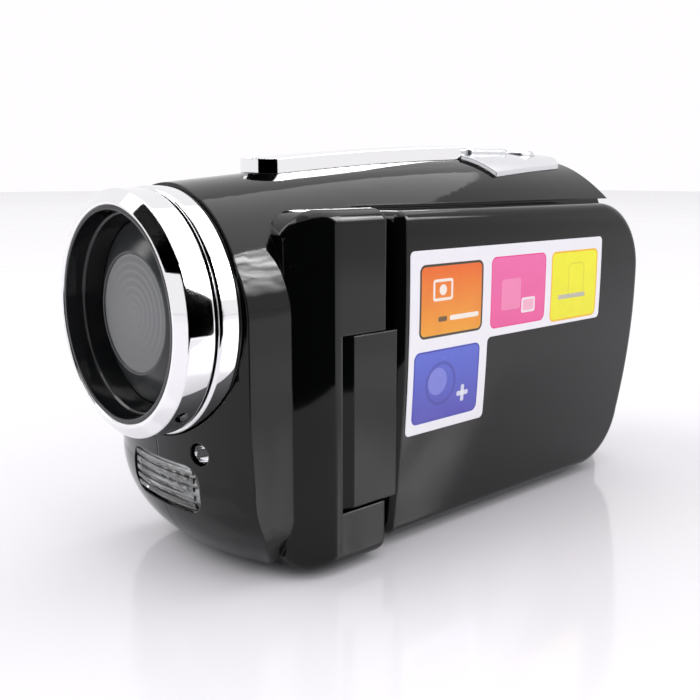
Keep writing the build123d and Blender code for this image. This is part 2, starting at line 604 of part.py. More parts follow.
def rocker_pin(radius):
    """The two stub pins of the rocker, which turn in the pad, as one rod right across."""
    reach = ROCKER_WIDE / 2 + 1.0
    return rod(-reach, ROCKER_Y, ROCKER_PIN_Z, radius, reach * 2, "X")


def shutter_key():
    """The round shutter key, with a foot that reaches down to its switch."""
    base = AXIS_HEIGHT + REAR_RISE - 1.0
    top = AXIS_HEIGHT + REAR_RISE + PAD_PROUD + 0.55
    floor = AXIS_HEIGHT + REAR_RISE - 7.6 + 2.2 + KEY_TRAVEL + 0.15
    cap = rod(0, SHUTTER_Y, base, SHUTTER_RADIUS, top - base)
    cap = fillet(cap.edges().group_by(Axis.Z)[-1], 0.7)
    return cap + rod(0, SHUTTER_Y, floor, 1.2, base - floor)


def rear_group():
    """The two keys on the rear wall and their board."""
    parts = {}
    board_y = REAR_Y - WALL - 4.2
    for (x, z), name in zip(REAR_KEYS, ("power_key", "mode_key")):
        cap = rod(x, REAR_Y - WALL - 0.9, z, REAR_KEY_RADIUS, WALL + 0.9 + 0.6, "Y")
        cap = fillet(cap.edges().group_by(Axis.Y)[-1], 0.4)
        foot = board_y + 1.2 + KEY_TRAVEL + 0.15
        parts[name] = cap + rod(x, foot, z, 1.1, REAR_Y - WALL - 0.9 - foot, "Y")
    xs = [x for x, z in REAR_KEYS]
    z = REAR_KEYS[0][1]
    parts["rear_board"] = block(min(xs) - 3.2, max(xs) + 3.2, board_y - 1.0, board_y, z - 3.8, z + 3.8)
    switches = [block(x - 1.7, x + 1.7, board_y, board_y + 1.2, z - 1.7, z + 1.7) for x in xs]
    parts["tact_switches"] = switches
    return parts


def bay_group():
    """The keys on the wall behind the screen, their switches, the main board and what it carries."""
    parts = {}
    board_x = BAY_X - WALL - 3.4
    low, high = CELL_LOW + 2 * CELL_RADIUS + 2.0, AXIS_HEIGHT + 10
    front, rear = COLUMN_REAR + 3.0, REAR_Y - 7.0
    board = block(board_x - 1.2, board_x, front, rear, low, high)
    for y, z in boss_places():
        board = board - rod(0, y, z, 3.3, BAY_X, "X")
    parts["main_board"] = board
    switches = []
    for name, y, z, radius in bay_key_places():
        cap = rod(BAY_X - WALL - 0.2, y, z, radius, WALL + 0.7, "X")
        cap = fillet(cap.edges().group_by(Axis.X)[-1], 0.35)
        foot = board_x + 1.0 + KEY_TRAVEL + 0.15
        parts[name] = cap + rod(foot, y, z, 1.0, BAY_X - WALL - 0.2 - foot, "X")
        switches.append(block(board_x, board_x + 1.0, y - 1.6, y + 1.6, z - 1.6, z + 1.6))
    parts["tact_switches"] = switches
    chip_x = board_x - 1.2
    processor = block(chip_x - 1.3, chip_x, 2, 14, AXIS_HEIGHT - 8, AXIS_HEIGHT + 4)
    memory = block(chip_x - 1.0, chip_x, 17, 25, AXIS_HEIGHT - 1, AXIS_HEIGHT + 9)
    parts["board_chips"] = Compound(children=[processor, memory])
    parts["speaker"] = rod(BAY_X - WALL - 2.6, SPEAKER_Y, BAY_KEY_Z, 5.0, 2.5, "X")
    parts["card_socket"] = card_socket(chip_x)
    return parts


def card_socket(chip_x):
    """Tray of the memory card, open to the rear, on the inner side of the main board."""
    shell = block(chip_x - 3.4, chip_x, REAR_Y - 34, REAR_Y - 7.6, CARD_Z, CARD_Z + 15)
    return shell - block(chip_x - 2.8, chip_x - 0.6, REAR_Y - 33, REAR_Y - 7, CARD_Z + 0.6, CARD_Z + 14.4)


# ---- battery --------------------------------------------------------------------------------
def cell_places():
    """Axes of the two cells, as (x, z)."""
    middle = (DOOR_LEFT + DOOR_RIGHT) / 2 - 2.6
    return [(middle + CELL_PITCH * side, CELL_LOW + CELL_RADIUS) for side in (-0.5, 0.5)]


def battery_group():
    """Cells, their tray and contacts, and the door under them."""
    parts = {}
    front = DOOR_FRONT + 1.4
    cells, springs, plates = [], [], []
    for x, z in cell_places():
        cell = rod(x, front, z, CELL_RADIUS, CELL_LONG - 1.0, "Y")
        cell = fillet(cell.edges(), 0.6)
        cells.append(cell + rod(x, front + CELL_LONG - 1.0, z, 1.9, 0.9, "Y"))
        springs.append(rod(x, front - 1.2, z, 2.6, 1.1, "Y") - rod(x, front - 1.5, z, 2.0, 2, "Y"))
        plates.append(block(x - 3, x + 3, front + CELL_LONG, front + CELL_LONG + 0.4, z - 3, z + 3))
    parts["cells"] = Compound(children=cells)
    parts["cell_contacts"] = Compound(children=springs + plates)
    xs = [x for x, z in cell_places()]
    left, right = min(xs) - CELL_RADIUS - 0.3, max(xs) + CELL_RADIUS + 0.3
    top = max(z for x, z in cell_places()) + CELL_RADIUS + 0.3
    tray = block(left - 0.8, right + 0.8, front - 2.2, front + CELL_LONG + 1.4, CELL_LOW + 2.0, top + 0.8)
    tray = tray - block(left, right, front - 1.3, front + CELL_LONG + 0.5, 0, top)
    parts["battery_tray"] = tray & form(WALL + 0.1)
    parts["battery_door"] = battery_door()
    parts["door_pin"] = door_pin(DOOR_PIN_RADIUS)
    return parts


def battery_door():
    """Curved door in the base, with a long hinge eye along its front edge."""
    leaf = (form(0.02) - form(WALL)) & battery_opening(0)
    leaf = leaf - block(DOOR_LEFT - 1, DOOR_RIGHT + 1, 0, DOOR_PIN_Y + 0.5, -1, BELLY_RADIUS)
    leaf = leaf - block(DOOR_LEFT - 1, EYE_LEFT, 0, DOOR_PIN_Y + EYE_RADIUS + 1.0, -1, BELLY_RADIUS)
    leaf = leaf - block(EYE_RIGHT, DOOR_RIGHT + 1, 0, DOOR_PIN_Y + EYE_RADIUS + 1.0, -1, BELLY_RADIUS)
    eye = rod(EYE_LEFT, DOOR_PIN_Y, DOOR_PIN_Z, EYE_RADIUS - 0.02, EYE_RIGHT - EYE_LEFT, "X")
    return leaf + eye - door_pin(DOOR_PIN_RADIUS + RUN)


# ---- ports ----------------------------------------------------------------------------------
def port_group():
    """The sockets in the rear wall and the cover that swings over them."""
    parts = {}
    inside = REAR_Y - WALL - 3.4
    parts["port_frame"] = port_frame()
    parts["data_socket"] = socket_box(PORT_X - 3.5, PORT_Z + 4.5, 7.8, 4.0, inside - 6.5, inside)
    jack = block(PORT_X - 6.5, PORT_X - 0.5, inside - 9, inside, PORT_Z - 6.8, PORT_Z - 0.8)
    parts["picture_jack"] = jack - rod(PORT_X - 3.5, inside - 7, PORT_Z - 3.8, 1.3, 9, "Y")
    parts["port_cover"] = port_cover()
    parts["cover_pin"] = cover_pin(COVER_PIN_RADIUS)
    return parts


def cover_pin(radius):
    """The upright pin of the port cover."""
    pin_x = PORT_X - PORT_WIDE / 2 + 1.6
    return rod(pin_x, COVER_PIN_Y, PORT_Z - PORT_HIGH / 2 - 1.0, radius, PORT_HIGH + 2.0)


def socket_box(x, z, wide, high, y0, y1):
    """A metal socket, open to the rear."""
    body = block(x - wide / 2, x + wide / 2, y0, y1, z - high / 2, z + high / 2)
    return body - block(x - wide / 2 + 0.5, x + wide / 2 - 0.5, y0 + 1, y1 + 1, z - high / 2 + 0.5, z + high / 2 - 0.5)


def port_frame():
    """Recessed wall behind the port cover, with the outlines of the sockets cut in it."""
    frame = (port_opening(1.2) - port_opening(FIT)) & form(WALL + 0.02)
    plate = port_opening(1.2) & block(-40, 40, REAR_Y - WALL - 3.4, REAR_Y - WALL - 2.4, 0, AXIS_HEIGHT * 2)
    frame = frame + (plate & form(WALL))
    frame = frame & block(-40, 40, REAR_Y - WALL - 3.4, REAR_Y, 0, AXIS_HEIGHT * 2)
    cuts = block(PORT_X - 7.4, PORT_X + 0.4, REAR_Y - 9, REAR_Y + 1, PORT_Z + 2.5, PORT_Z + 6.5)
    cuts = cuts + rod(PORT_X - 3.5, REAR_Y - 9, PORT_Z - 3.8, 2.0, 12, "Y")
    chip_x = BAY_X - WALL - 4.6
    cuts = cuts + block(chip_x - 2.9, chip_x - 0.5, REAR_Y - 9, REAR_Y + 1, CARD_Z + 0.5, CARD_Z + 14.5)
    return frame - (cuts & block(-40, 40, REAR_Y - 9, REAR_Y - WALL - 1.0, 0, AXIS_HEIGHT * 2))


def port_cover():
    """The cover of the ports, flush with the rear wall, with its hinge barrel on the hand's side."""
    half_wide, half_high = PORT_WIDE / 2, PORT_HIGH / 2
    leaf = block(
        PORT_X - half_wide + 3.0, PORT_X + half_wide - 0.1, REAR_Y - WALL, REAR_Y - 0.02,
        PORT_Z - half_high + 0.1, PORT_Z + half_high - 0.1,
    )
    pin_x = PORT_X - half_wide + 1.6
    barrel = rod(pin_x, COVER_PIN_Y, PORT_Z - half_high + 0.2, COVER_PIN_RADIUS + 0.75, PORT_HIGH - 0.4)
    web = block(
        pin_x, PORT_X - half_wide + 3.2, COVER_PIN_Y - 0.6, COVER_PIN_Y + 0.75,
        PORT_Z - half_high + 0.2, PORT_Z + half_high - 0.2,
    )
    cover = leaf + barrel + web
    return cover - rod(pin_x, COVER_PIN_Y, PORT_Z - half_high - 1, COVER_PIN_RADIUS + RUN, PORT_HIGH + 2)


# ---- fold-out screen ------------------------------------------------------------------------
def panel_outline(inset):
    """Side outline of the screen panel, as a face in the YZ plane."""
    front, rear = PANEL_FRONT + inset, PANEL_REAR - inset
    low, high = PANEL_LOW + inset, PANEL_HIGH - inset
    tall = high - low
    edges = [
        Line((front, low), (front, high)),
        Line((front, high), (rear - tall * 0.26, high)),
        ThreePointArc(
            (rear - tall * 0.26, high), (rear - tall * 0.075, high - tall * 0.072), (rear, high - tall * 0.25)
        ),
        ThreePointArc((rear, high - tall * 0.25), (rear - tall * 0.006, high - tall * 0.5), (rear - tall * 0.045, low + tall * 0.2)),
        ThreePointArc(
            (rear - tall * 0.045, low + tall * 0.2), (rear - tall * 0.105, low + tall * 0.062), (rear - tall * 0.23, low)
        ),
        Line((rear - tall * 0.23, low), (front, low)),
    ]
    upright = Plane((0, 0, 0), x_dir=(0, 1, 0), z_dir=(1, 0, 0))
    return upright * make_face(edges)


def panel_block(inset, x0, x1):
    """The outline pushed out between two heights."""
    return Pos(x0, 0, 0) * extrude(panel_outline(inset), amount=x1 - x0)


def crown(drop):
    """The large cylinder that the panel's outer face lies on."""
    high = PANEL_HIGH - (PANEL_HIGH - PANEL_LOW) * 0.25
    x = PANEL_OUT - drop - PANEL_CROWN
    return Pos(x, 0, high) * Rot(90, 0, 0) * Cylinder(PANEL_CROWN, (REAR_Y - LIP_Y) * 4)


def screen_group():
    """The panel's two halves, the display between them, the hinge pieces and the label."""
    parts = {}
    split = PANEL_IN + 2.4
    cover = panel_block(0, split + 0.1, PANEL_OUT + 3) & crown(0)
    rim = [e for e in cover.edges() if e.center().X > split + 1.5]
    cover = fillet(rim, 1.6)
    hollow = panel_block(WALL, split - 1, PANEL_OUT + 3) & crown(WALL)
    cover = cover - hollow
    parts["screen_cover"] = cover - shaft_bore()
    bezel = panel_block(0.12, PANEL_IN, split)
    face = [e for e in bezel.edges() if e.center().X < PANEL_IN + 0.1]
    bezel = fillet(face, 0.8)
    bezel = bezel - panel_block(WALL + 0.1, PANEL_IN + 1.4, split + 1)
    window = block(
        PANEL_IN - 1, split + 2, SCREEN_Y - SCREEN_WIDE / 2, SCREEN_Y + SCREEN_WIDE / 2,
        SCREEN_Z - SCREEN_HIGH / 2, SCREEN_Z + SCREEN_HIGH / 2,
    )
    parts["screen_bezel"] = bezel - window - shaft_bore()
    edge = 0.1
    pane = block(
        PANEL_IN + 0.15, PANEL_IN + 1.1, SCREEN_Y - SCREEN_WIDE / 2 + edge, SCREEN_Y + SCREEN_WIDE / 2 - edge,
        SCREEN_Z - SCREEN_HIGH / 2 + edge, SCREEN_Z + SCREEN_HIGH / 2 - edge,
    )
    parts["screen_pane"] = pane
    grow = 1.6
    display = block(
        PANEL_IN + 1.5, PANEL_IN + 3.6, SCREEN_Y - SCREEN_WIDE / 2 - grow, SCREEN_Y + SCREEN_WIDE / 2 + grow,
        SCREEN_Z - SCREEN_HIGH / 2 - grow, SCREEN_Z + SCREEN_HIGH / 2 + grow,
    )
    parts["display"] = display
    board = block(
        PANEL_IN + 3.7, PANEL_IN + 4.5, SCREEN_Y - 14, SCREEN_Y + 14, SCREEN_Z - 11, SCREEN_Z + 11
    )
    parts["display_board"] = board
    parts["panel_label"] = label()
    parts["hinge_knuckle"] = knuckle()
    shaft_z = (KNUCKLE_LOW + KNUCKLE_HIGH) / 2
    parts["knuckle_shaft"] = rod(SHAFT_X, HINGE_Y + 2.6, shaft_z, SHAFT_RADIUS, 16, "Y")
    ring = rod(SHAFT_X, PANEL_FRONT + WALL + 0.6, shaft_z, SHAFT_RADIUS + 0.4, 1.4, "Y")
    parts["shaft_collar"] = ring - rod(SHAFT_X, HINGE_Y, shaft_z, SHAFT_RADIUS, 20, "Y")
    return parts


def shaft_bore():
    """Hole in the panel's front edge for the knuckle's shaft."""
    return rod(SHAFT_X, PANEL_FRONT - 3, (KNUCKLE_LOW + KNUCKLE_HIGH) / 2, SHAFT_RADIUS + 0.05, 8, "Y")


def label():
    """The thin L-shaped label on the panel's outer face."""
    y0, y1 = LABEL_FRONT, LABEL_REAR
    z1, z0 = LABEL_TOP, LABEL_TOP - LABEL_ROW
    foot = LABEL_TOP - LABEL_TALL
    outline = [(y0, foot), (y0, z1), (y1, z1), (y1, z0), (y0 + LABEL_FOOT, z0), (y0 + LABEL_FOOT, foot)]
    upright = Plane((0, 0, 0), x_dir=(0, 1, 0), z_dir=(1, 0, 0))
    face = upright * make_face(Polyline(*outline, close=True))
    prism = Pos(PANEL_OUT - 4, 0, 0) * extrude(face, amount=8)
    corners = prism.edges().filter_by(Axis.X)
    prism = fillet(corners, 0.9)
    return (crown(-0.12) - crown(-0.01)) & prism


def knuckle():
    """The hinge block that turns in the column's notch and carries the panel."""
    x, y = HINGE_X, HINGE_Y
    reach = PANEL_OUT - 0.3 - x
    end = PANEL_FRONT - 0.12 - y
    outline = [
        (x + reach, y + end), (x + reach, y - 2.6), (x + reach - 1.1, y - 5.7), (x - 1.5, y - 5.9),
        (x - 4.0, y - 3.6), (x - 4.0, y + 3.4), (x - 3.0, y + end),
    ]
    lump = plan(outline, KNUCKLE_LOW, KNUCKLE_HIGH)
    rim = [e for e in lump.edges().filter_by(Axis.Z) if e.center().X > x + reach - 1.2]
    lump = fillet(rim, 0.35)
    lump = lump - hinge_post(PIN_RADIUS + RUN, KNUCKLE_LOW - 1, KNUCKLE_HIGH + 1)
    shaft_z = (KNUCKLE_LOW + KNUCKLE_HIGH) / 2
    return lump - rod(SHAFT_X, HINGE_Y + 2.6, shaft_z, SHAFT_RADIUS, 20, "Y")


# ---- small pieces held by the casing ----------------------------------------------------------
def small_group():
    """Hinge pin, tripod bush, strap bar, microphone and the case screws."""
    parts = {}
    parts["hinge_pin"] = hinge_post(PIN_RADIUS, KNUCKLE_LOW - 3.2, KNUCKLE_HIGH + 3.2)
    bush = rod(0, 0, 0.0, SOCKET_OUTER, SOCKET_DEEP + 1.0)
    parts["tripod_bush"] = bush - rod(0, 0, -1, SOCKET_RADIUS, SOCKET_DEEP + 1)
    parts["strap_bar"] = strap_bar(STRAP_BAR_RADIUS)
    parts["microphone"] = rod(-6, FACE_Y + WALL + 3.2, AXIS_HEIGHT - 22.4, 2.0, 2.6, "Y")
    screws = []
    for y, z in boss_places():
        shank = rod(-SCREW_HEAD_X, y, z, SCREW_RADIUS, SCREW_LONG - 0.6, "X")
        head = rod(-SCREW_HEAD_X - 1.2, y, z, SCREW_HEAD_RADIUS, 1.2, "X")
        slot = block(-SCREW_HEAD_X - 1.4, -SCREW_HEAD_X - 0.7, y - 1.1, y + 1.1, z - 0.2, z + 0.2)
        cross = block(-SCREW_HEAD_X - 1.4, -SCREW_HEAD_X - 0.7, y - 0.2, y + 0.2, z - 1.1, z + 1.1)
        screws.append(shank + head - slot - cross)
    parts["case_screws"] = Compound(children=screws)
    return parts


def build_all():
    """Every node by name."""
    inner = form(WALL)
    case = casing() + strap_pocket(inner)
    case = shared_cuts(case)
    parts = {"left_casing": left_half(case), "right_casing": right_half(case)}
    switches = []
    for group in (lens_group, lamp_group, top_group, rear_group, bay_group, battery_group, port_group,
                  screen_group, small_group):
        pieces = group()
        switches += pieces.pop("tact_switches", [])
        parts.update(pieces)
    parts["tact_switches"] = Compound(children=switches)
    return parts


def main():
    """Writes one STEP file for each node."""
    os.makedirs("parts", exist_ok=True)
    for name, shape in build_all().items():
        solids = shape.solids()
        export_step(solids[0] if len(solids) == 1 else Compound(children=list(solids)), f"parts/{name}.step")
        print(f"{name}: {len(solids)} solid(s), {sum(s.volume for s in solids):.1f} mm3")


if __name__ == "__main__":
    main()
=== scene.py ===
"""Looks of a small camcorder with a flip-out screen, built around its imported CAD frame."""

import math

import bpy
from bpy.props import FloatProperty, FloatVectorProperty, IntProperty, PointerProperty
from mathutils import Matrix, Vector


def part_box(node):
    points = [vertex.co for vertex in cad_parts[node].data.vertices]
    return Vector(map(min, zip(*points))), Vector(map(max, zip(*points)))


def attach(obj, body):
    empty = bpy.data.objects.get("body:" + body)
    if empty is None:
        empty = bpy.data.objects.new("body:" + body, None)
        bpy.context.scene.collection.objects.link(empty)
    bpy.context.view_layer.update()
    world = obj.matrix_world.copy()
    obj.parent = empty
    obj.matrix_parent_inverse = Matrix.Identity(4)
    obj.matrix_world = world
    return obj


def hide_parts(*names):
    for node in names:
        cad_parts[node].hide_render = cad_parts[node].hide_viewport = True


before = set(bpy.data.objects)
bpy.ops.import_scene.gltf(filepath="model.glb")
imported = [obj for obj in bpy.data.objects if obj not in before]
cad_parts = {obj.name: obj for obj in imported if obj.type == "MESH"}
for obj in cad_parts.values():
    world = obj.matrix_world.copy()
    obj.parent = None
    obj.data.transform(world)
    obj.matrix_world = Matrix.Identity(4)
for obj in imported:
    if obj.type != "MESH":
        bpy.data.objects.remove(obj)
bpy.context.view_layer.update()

bl_info = {
    "name": "Camcorder looks",
    "version": (1, 0, 0),
    "blender": (4, 5, 0),
    "location": "View3D > Sidebar > Camcorder",
    "description": "Finishes and fine pieces for a small camcorder with a flip-out screen",
    "category": "Object",
}

MM = 0.001
FULL_TURN = 2 * math.pi


# ---- places read from the frame -------------------------------------------------------------
def low(node):
    """The lowest corner of a CAD node."""
    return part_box(node)[0]


def high(node):
    """The highest corner of a CAD node."""
    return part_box(node)[1]


def middle(node):
    """The centre of a CAD node's box."""
    return (low(node) + high(node)) / 2


LENS_HEIGHT = middle("hood_ring").z
LENS_FRONT = low("hood_ring").y
PANEL_FACE = high("screen_cover").x


# ---- sizes and colours that a user would change -----------------------------------------------
class FinishColours(bpy.types.PropertyGroup):
    """Colours of the visible finishes."""

    casing: FloatVectorProperty(
        name="Casing", description="Lacquered casing and screen cover", subtype="COLOR",
        default=(0.0016, 0.0018, 0.0018), min=0, max=1,
    )
    chrome: FloatVectorProperty(
        name="Chrome", description="Plated rings round the lens", subtype="COLOR",
        default=(0.86, 0.86, 0.87), min=0, max=1,
    )
    silver: FloatVectorProperty(
        name="Silver", description="Bar and pad on the top", subtype="COLOR",
        default=(0.70, 0.71, 0.73), min=0, max=1,
    )
    paper: FloatVectorProperty(
        name="Label", description="Ground of the label", subtype="COLOR",
        default=(0.86, 0.84, 0.88), min=0, max=1,
    )
    mask: FloatVectorProperty(
        name="Lens mask", description="Ring round the lens window", subtype="COLOR",
        default=(0.030, 0.032, 0.034), min=0, max=1,
    )


class LensSizes(bpy.types.PropertyGroup):
    """How the turned pieces round the lens are divided and rounded."""

    around: IntProperty(
        name="Divisions", description="Faces round each turned piece", default=144, min=24, max=360
    )
    lip: FloatProperty(
        name="Lip", description="Radius of the rolled lip of the hood", subtype="DISTANCE",
        unit="LENGTH", default=0.42 * MM, min=0.1 * MM, max=1 * MM, precision=5,
    )
    cone: FloatProperty(
        name="Cone", description="Depth of the hood's slanted front band", subtype="DISTANCE",
        unit="LENGTH", default=1.3 * MM, min=0.5 * MM, max=3 * MM, precision=5,
    )
    edge: FloatProperty(
        name="Edge", description="Rounding of the rings' edges", subtype="DISTANCE",
        unit="LENGTH", default=0.14 * MM, min=0.02 * MM, max=0.5 * MM, precision=5,
    )
    steps: IntProperty(
        name="Window rings", description="Fine steps in the lens window", default=7, min=0, max=20
    )


class StageSizes(bpy.types.PropertyGroup):
    """Floor, lamps and camera."""

    floor: FloatProperty(
        name="Floor", description="Side of the floor", subtype="DISTANCE", unit="LENGTH",
        default=6.0, min=1, max=20,
    )
    lens: FloatProperty(
        name="Camera lens", description="Focal length of the camera in millimetres",
        default=46.87, min=10, max=200,
    )
    tilt: FloatProperty(
        name="Camera tilt", description="How far the camera looks down", subtype="ANGLE",
        unit="ROTATION", default=math.radians(10.89), min=0, max=1.5,
    )
    turn: FloatProperty(
        name="Camera turn", description="How far the camera stands round from the front", subtype="ANGLE",
        unit="ROTATION", default=math.radians(47.41), min=-3.2, max=3.2,
    )


# ---- node trees -------------------------------------------------------------------------------
def put(tree, kind, values=None, **settings):
    """Adds a node, sets it up and joins or fills the sockets named in values."""
    node = tree.nodes.new(kind)
    for key, value in settings.items():
        setattr(node, key, value)
    for socket, value in (values or {}).items():
        if isinstance(value, bpy.types.NodeSocket):
            tree.links.new(value, node.inputs[socket])
        else:
            node.inputs[socket].default_value = value
    return node


def sum_up(tree, operation, first, second=0.0, third=0.0, clamp=False):
    """A Math node's result."""
    values = {0: first, 1: second, 2: third}
    return put(tree, "ShaderNodeMath", values, operation=operation, use_clamp=clamp).outputs[0]


def fit(tree, value, source, target):
    """Maps value from the source range to the target range, held at both ends."""
    values = {"Value": value, 1: source[0], 2: source[1], 3: target[0], 4: target[1]}
    return put(tree, "ShaderNodeMapRange", values).outputs[0]


def blend_colours(tree, share, first, second, mode="MIX"):
    """A mix of two colours."""
    node = put(tree, "ShaderNodeMix", data_type="RGBA", blend_type=mode)
    for socket, value in (("Factor_Float", share), ("A_Color", first), ("B_Color", second)):
        target = next(s for s in node.inputs if s.identifier == socket)
        if isinstance(value, bpy.types.NodeSocket):
            tree.links.new(value, target)
        else:
            target.default_value = value if socket == "Factor_Float" else opaque(value)
    return next(s for s in node.outputs if s.identifier == "Result_Color")


def opaque(colour):
    """A colour with full alpha."""
    return (colour[0], colour[1], colour[2], 1.0)


def object_place(tree):
    """The place on the object, in metres."""
    return put(tree, "ShaderNodeTexCoord").outputs["Object"]


def group_tree(name, inputs, outputs):
    """An empty node group with named sockets, and its input and output nodes."""
    tree = bpy.data.node_groups.new(name, "ShaderNodeTree")
    for label, kind, default in inputs:
        socket = tree.interface.new_socket(label, in_out="INPUT", socket_type=kind)
        if default is not None:
            socket.default_value = default
    for label, kind in outputs:
        tree.interface.new_socket(label, in_out="OUTPUT", socket_type=kind)
    return tree, put(tree, "NodeGroupInput").outputs, put(tree, "NodeGroupOutput").inputs


def use(tree, group, values):
    """Places a node group with its own values and returns its outputs."""
    node = tree.nodes.new("ShaderNodeGroup")
    node.node_tree = group
    for socket, value in values.items():
        if isinstance(value, bpy.types.NodeSocket):
            tree.links.new(value, node.inputs[socket])
        else:
            node.inputs[socket].default_value = value
    return node.outputs


# ---- effects shared by the finishes -----------------------------------------------------------
def handling_group():
    """Faint smears from handling and fine specks of dust."""
    tree, given, result = group_tree(
        "handling", [("Place", "NodeSocketVector", None), ("Scale", "NodeSocketFloat", 60.0)],
        [("Smear", "NodeSocketFloat"), ("Dust", "NodeSocketFloat")],
    )
    stretched = put(tree, "ShaderNodeMapping", {"Vector": given["Place"], "Scale": (1.0, 0.6, 1.4)}).outputs[0]
    cloud = put(
        tree, "ShaderNodeTexNoise",
        {"Vector": stretched, "Scale": given["Scale"], "Detail": 5.0, "Roughness": 0.6, "Distortion": 0.8},
    )
    tree.links.new(fit(tree, cloud.outputs[0], (0.42, 0.72), (0.0, 1.0)), result["Smear"])
    fine = sum_up(tree, "MULTIPLY", given["Scale"], 28.0)
    specks = put(tree, "ShaderNodeTexVoronoi", {"Vector": given["Place"], "Scale": fine, "Randomness": 1.0})
    small = sum_up(tree, "LESS_THAN", specks.outputs["Distance"], 0.075)
    patches = put(tree, "ShaderNodeTexNoise", {"Vector": given["Place"], "Scale": given["Scale"], "Detail": 2.0})
    some = fit(tree, patches.outputs[0], (0.55, 0.75), (0.0, 1.0))
    tree.links.new(sum_up(tree, "MULTIPLY", small, some), result["Dust"])
    return tree


def grain_group():
    """Fine texture of a moulded or plated surface, as a height."""
    tree, given, result = group_tree(
        "grain", [("Place", "NodeSocketVector", None), ("Scale", "NodeSocketFloat", 2500.0)],
        [("Height", "NodeSocketFloat")],
    )
    fine = put(tree, "ShaderNodeTexNoise", {"Vector": given["Place"], "Scale": given["Scale"], "Detail": 3.0})
    slow = sum_up(tree, "MULTIPLY", given["Scale"], 0.12)
    broad = put(tree, "ShaderNodeTexNoise", {"Vector": given["Place"], "Scale": slow, "Detail": 2.0})
    tree.links.new(sum_up(tree, "MULTIPLY_ADD", fine.outputs[0], 0.7, broad.outputs[0]), result["Height"])
    return tree


def soft_edge_group():
    """A small rounding of the edges, and a mask of where it is."""
    tree, given, result = group_tree(
        "soft_edge", [("Radius", "NodeSocketFloat", 0.0002)],
        [("Normal", "NodeSocketVector"), ("Edge", "NodeSocketFloat")],
    )
    rounded = put(tree, "ShaderNodeBevel", {"Radius": given["Radius"]}, samples=6).outputs[0]
    plain = put(tree, "ShaderNodeNewGeometry").outputs["Normal"]
    alike = put(tree, "ShaderNodeVectorMath", {0: rounded, 1: plain}, operation="DOT_PRODUCT").outputs["Value"]
    tree.links.new(rounded, result["Normal"])
    tree.links.new(fit(tree, alike, (0.80, 0.985), (1.0, 0.0)), result["Edge"])
    return tree


def tile_group():
    """Mask of an upright rectangle with round corners, in the plane of the panel, and its rim."""
    tree, given, result = group_tree(
        "tile",
        [
            ("Place", "NodeSocketVector", None), ("Along", "NodeSocketFloat", 0.0), ("Up", "NodeSocketFloat", 0.0),
            ("Wide", "NodeSocketFloat", 0.01), ("Tall", "NodeSocketFloat", 0.01),
            ("Corner", "NodeSocketFloat", 0.001), ("Rim", "NodeSocketFloat", 0.0003),
        ],
        [("Fill", "NodeSocketFloat"), ("Rim", "NodeSocketFloat")],
    )
    split = put(tree, "ShaderNodeSeparateXYZ", {0: given["Place"]}).outputs
    beyond = []
    for axis, centre, size in (("Y", "Along", "Wide"), ("Z", "Up", "Tall")):
        away = sum_up(tree, "ABSOLUTE", sum_up(tree, "SUBTRACT", split[axis], given[centre]))
        half = sum_up(tree, "SUBTRACT", sum_up(tree, "MULTIPLY", given[size], 0.5), given["Corner"])
        beyond.append(sum_up(tree, "MAXIMUM", sum_up(tree, "SUBTRACT", away, half), 0.0))
    squares = sum_up(tree, "ADD", sum_up(tree, "MULTIPLY", beyond[0], beyond[0]), sum_up(tree, "MULTIPLY", beyond[1], beyond[1]))
    distance = sum_up(tree, "SUBTRACT", sum_up(tree, "SQRT", squares), given["Corner"])
    blur = 0.00004
    fill = fit(tree, distance, (-blur, blur), (1.0, 0.0))
    core = fit(tree, sum_up(tree, "ADD", distance, given["Rim"]), (-blur, blur), (1.0, 0.0))
    tree.links.new(fill, result["Fill"])
    tree.links.new(sum_up(tree, "SUBTRACT", fill, core), result["Rim"])
    return tree


EFFECTS = {}


def effect(name):
    """A shared effect, built the first time that it is asked for."""
    makers = {
        "handling": handling_group, "grain": grain_group, "soft_edge": soft_edge_group, "tile": tile_group,
    }
    if name not in EFFECTS:
        EFFECTS[name] = makers[name]()
    return EFFECTS[name]


# ---- finishes -----------------------------------------------------------------------------------
def blank_finish(name):
    """A material with only a Principled shader; returns the material, its tree and the shader."""
    material = bpy.data.materials.new(name)
    material.use_nodes = True
    tree = material.node_tree
    tree.nodes.clear()
    shader = put(tree, "ShaderNodeBsdfPrincipled")
    put(tree, "ShaderNodeOutputMaterial", {"Surface": shader.outputs[0]})
    return material, tree, shader


def join(tree, value, socket):
    """Feeds a socket with another socket or a plain value."""
    if isinstance(value, bpy.types.NodeSocket):
        tree.links.new(value, socket)
    else:
        socket.default_value = value


